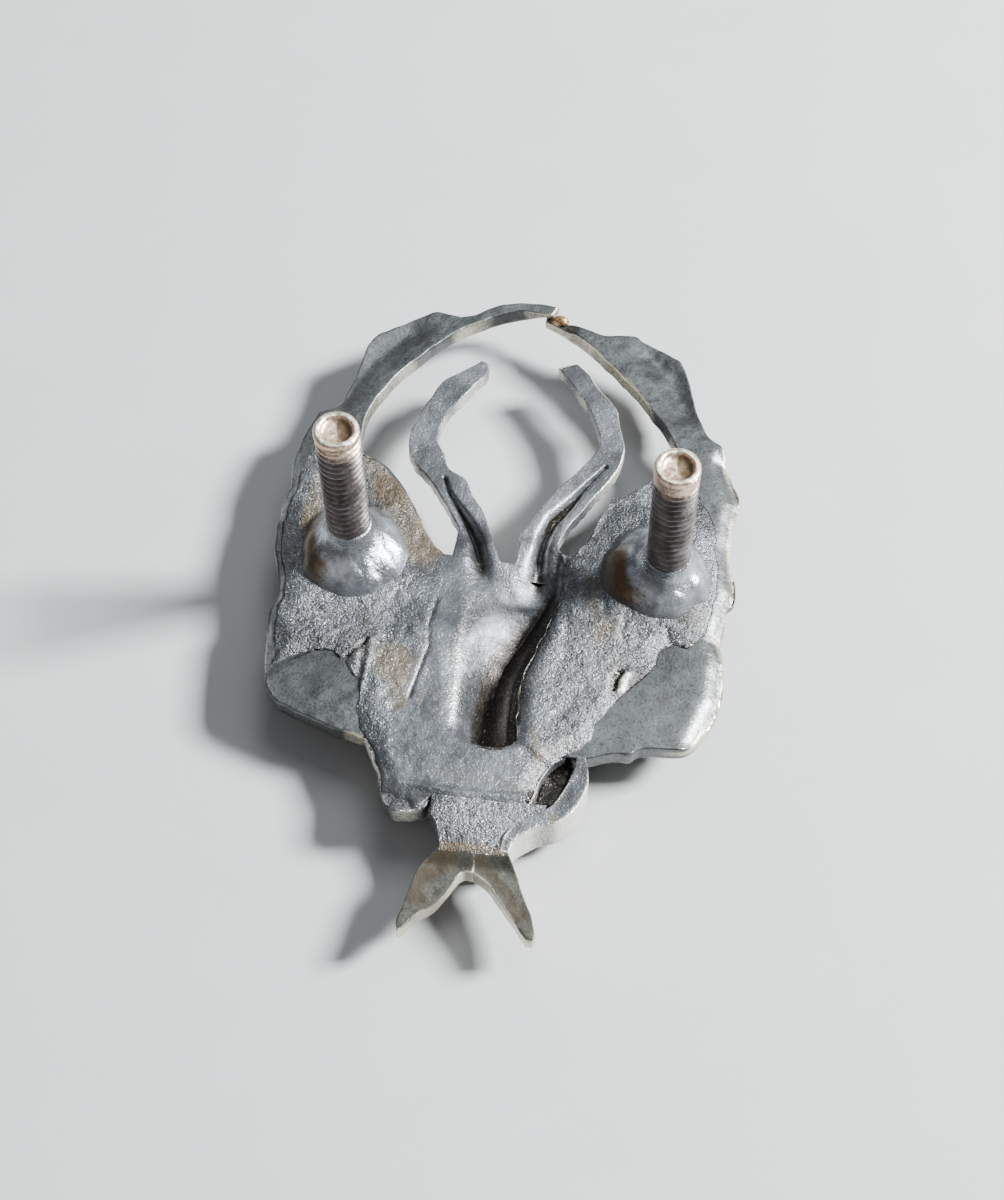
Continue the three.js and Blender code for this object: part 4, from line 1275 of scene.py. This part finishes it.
# %% The bead
def blob_rings(middle, half_sizes, lumps=0.12):
    """A ball stretched along each axis, with a noisy radius, as rings from pole to pole."""
    down = np.linspace(0.03, math.pi - 0.03, 24)[:, None]
    turn = np.linspace(0, 2 * math.pi, 40, endpoint=False)
    ball = np.stack([np.sin(down) * np.cos(turn), np.sin(down) * np.sin(turn), np.cos(down) + 0 * turn], -1)
    swell = 1 + lumps * noise(3 * ball[..., 0] + ball[..., 2], 3 * ball[..., 1], 1.0, 5)
    return np.array(middle) + ball * swell[..., None] * np.array(half_sizes)


make_piece("tip_bead", blob_rings((1.05, 24.42, -0.33), (0.64, 0.42, 0.3)), brass_metal,
    ["top_joint_solder"])

# %% [markdown]
# ## Stage, light and camera
# A pale floor and soft light from the upper right, with a dimmer sky all round. The big panel makes the
# long cool highlights on the metal. The camera looks down at the back from a little to the right.

# %% The floor
def stage_floor():
    half = 1.5
    mesh = bpy.data.meshes.new("floor")
    mesh.from_pydata([(-half, -half, 0), (half, -half, 0), (half, half, 0), (-half, half, 0)], [],
        [(0, 1, 2, 3)])
    floor = bpy.data.objects.new("floor", mesh)
    bpy.context.scene.collection.objects.link(floor)
    paper = Finish("floor_paper", Roughness=0.8, Metallic=0.0)
    mottle = paper.grain(9.0, 4, 0.6)
    mesh.materials.append(paper.finish(Base_Color=paper.blend(mottle, (0.42, 0.42, 0.42),
        (0.47, 0.47, 0.47))))


stage_floor()

# %% The lights
TARGET = np.array([middle_of("stud_left").x + 0.010086, middle_of("stud_left").y - 0.00266, plate_back])


def aim(thing, place):
    direction = TARGET - np.array(place)
    thing.location = place
    thing.rotation_euler = Vector(direction).to_track_quat("-Z", "Y").to_euler()


def panel(name, azimuth, elevation, distance, size, watts, tint):
    """A square soft light, aimed at the badge from a compass direction and a height in degrees."""
    turn, rise = math.radians(azimuth), math.radians(elevation)
    away = np.array([math.sin(turn) * math.cos(rise), math.cos(turn) * math.cos(rise), math.sin(rise)])
    lamp = bpy.data.lights.new(name, "AREA")
    lamp.size, lamp.energy, lamp.color = size, watts, tint
    holder = bpy.data.objects.new(name, lamp)
    bpy.context.scene.collection.objects.link(holder)
    aim(holder, tuple(TARGET + distance * away))


panel("window", 74, 37, 0.42, 0.1, 11.0, (0.95, 0.98, 1.0))
panel("sky_panel", 16, 60, 0.5, 0.26, 0.9, (0.86, 0.94, 1.0))
panel("fill", 230, 40, 0.6, 0.4, 0.25, (1.0, 0.93, 0.85))
world = bpy.data.worlds.new("soft_room")
bpy.context.scene.world = world
world.use_nodes = True
world.node_tree.nodes["Background"].inputs["Color"].default_value = (0.86, 0.91, 1.0, 1)
world.node_tree.nodes["Background"].inputs["Strength"].default_value = 0.2

# %% The camera
CAMERA_AZIMUTH = math.radians(6.732)
CAMERA_ELEVATION = math.radians(57.0)
CAMERA_DISTANCE = 0.143316


def stand_camera():
    level = math.cos(CAMERA_ELEVATION)
    away = np.array([math.sin(CAMERA_AZIMUTH) * level, -math.cos(CAMERA_AZIMUTH) * level,
        math.sin(CAMERA_ELEVATION)])
    lens_data = bpy.data.cameras.new("camera")
    lens_data.lens = 67.31
    lens_data.clip_start, lens_data.clip_end = 0.005, 5
    camera = bpy.data.objects.new("camera", lens_data)
    bpy.context.scene.collection.objects.link(camera)
    aim(camera, tuple(TARGET + CAMERA_DISTANCE * away))
    bpy.context.scene.camera = camera


stand_camera()
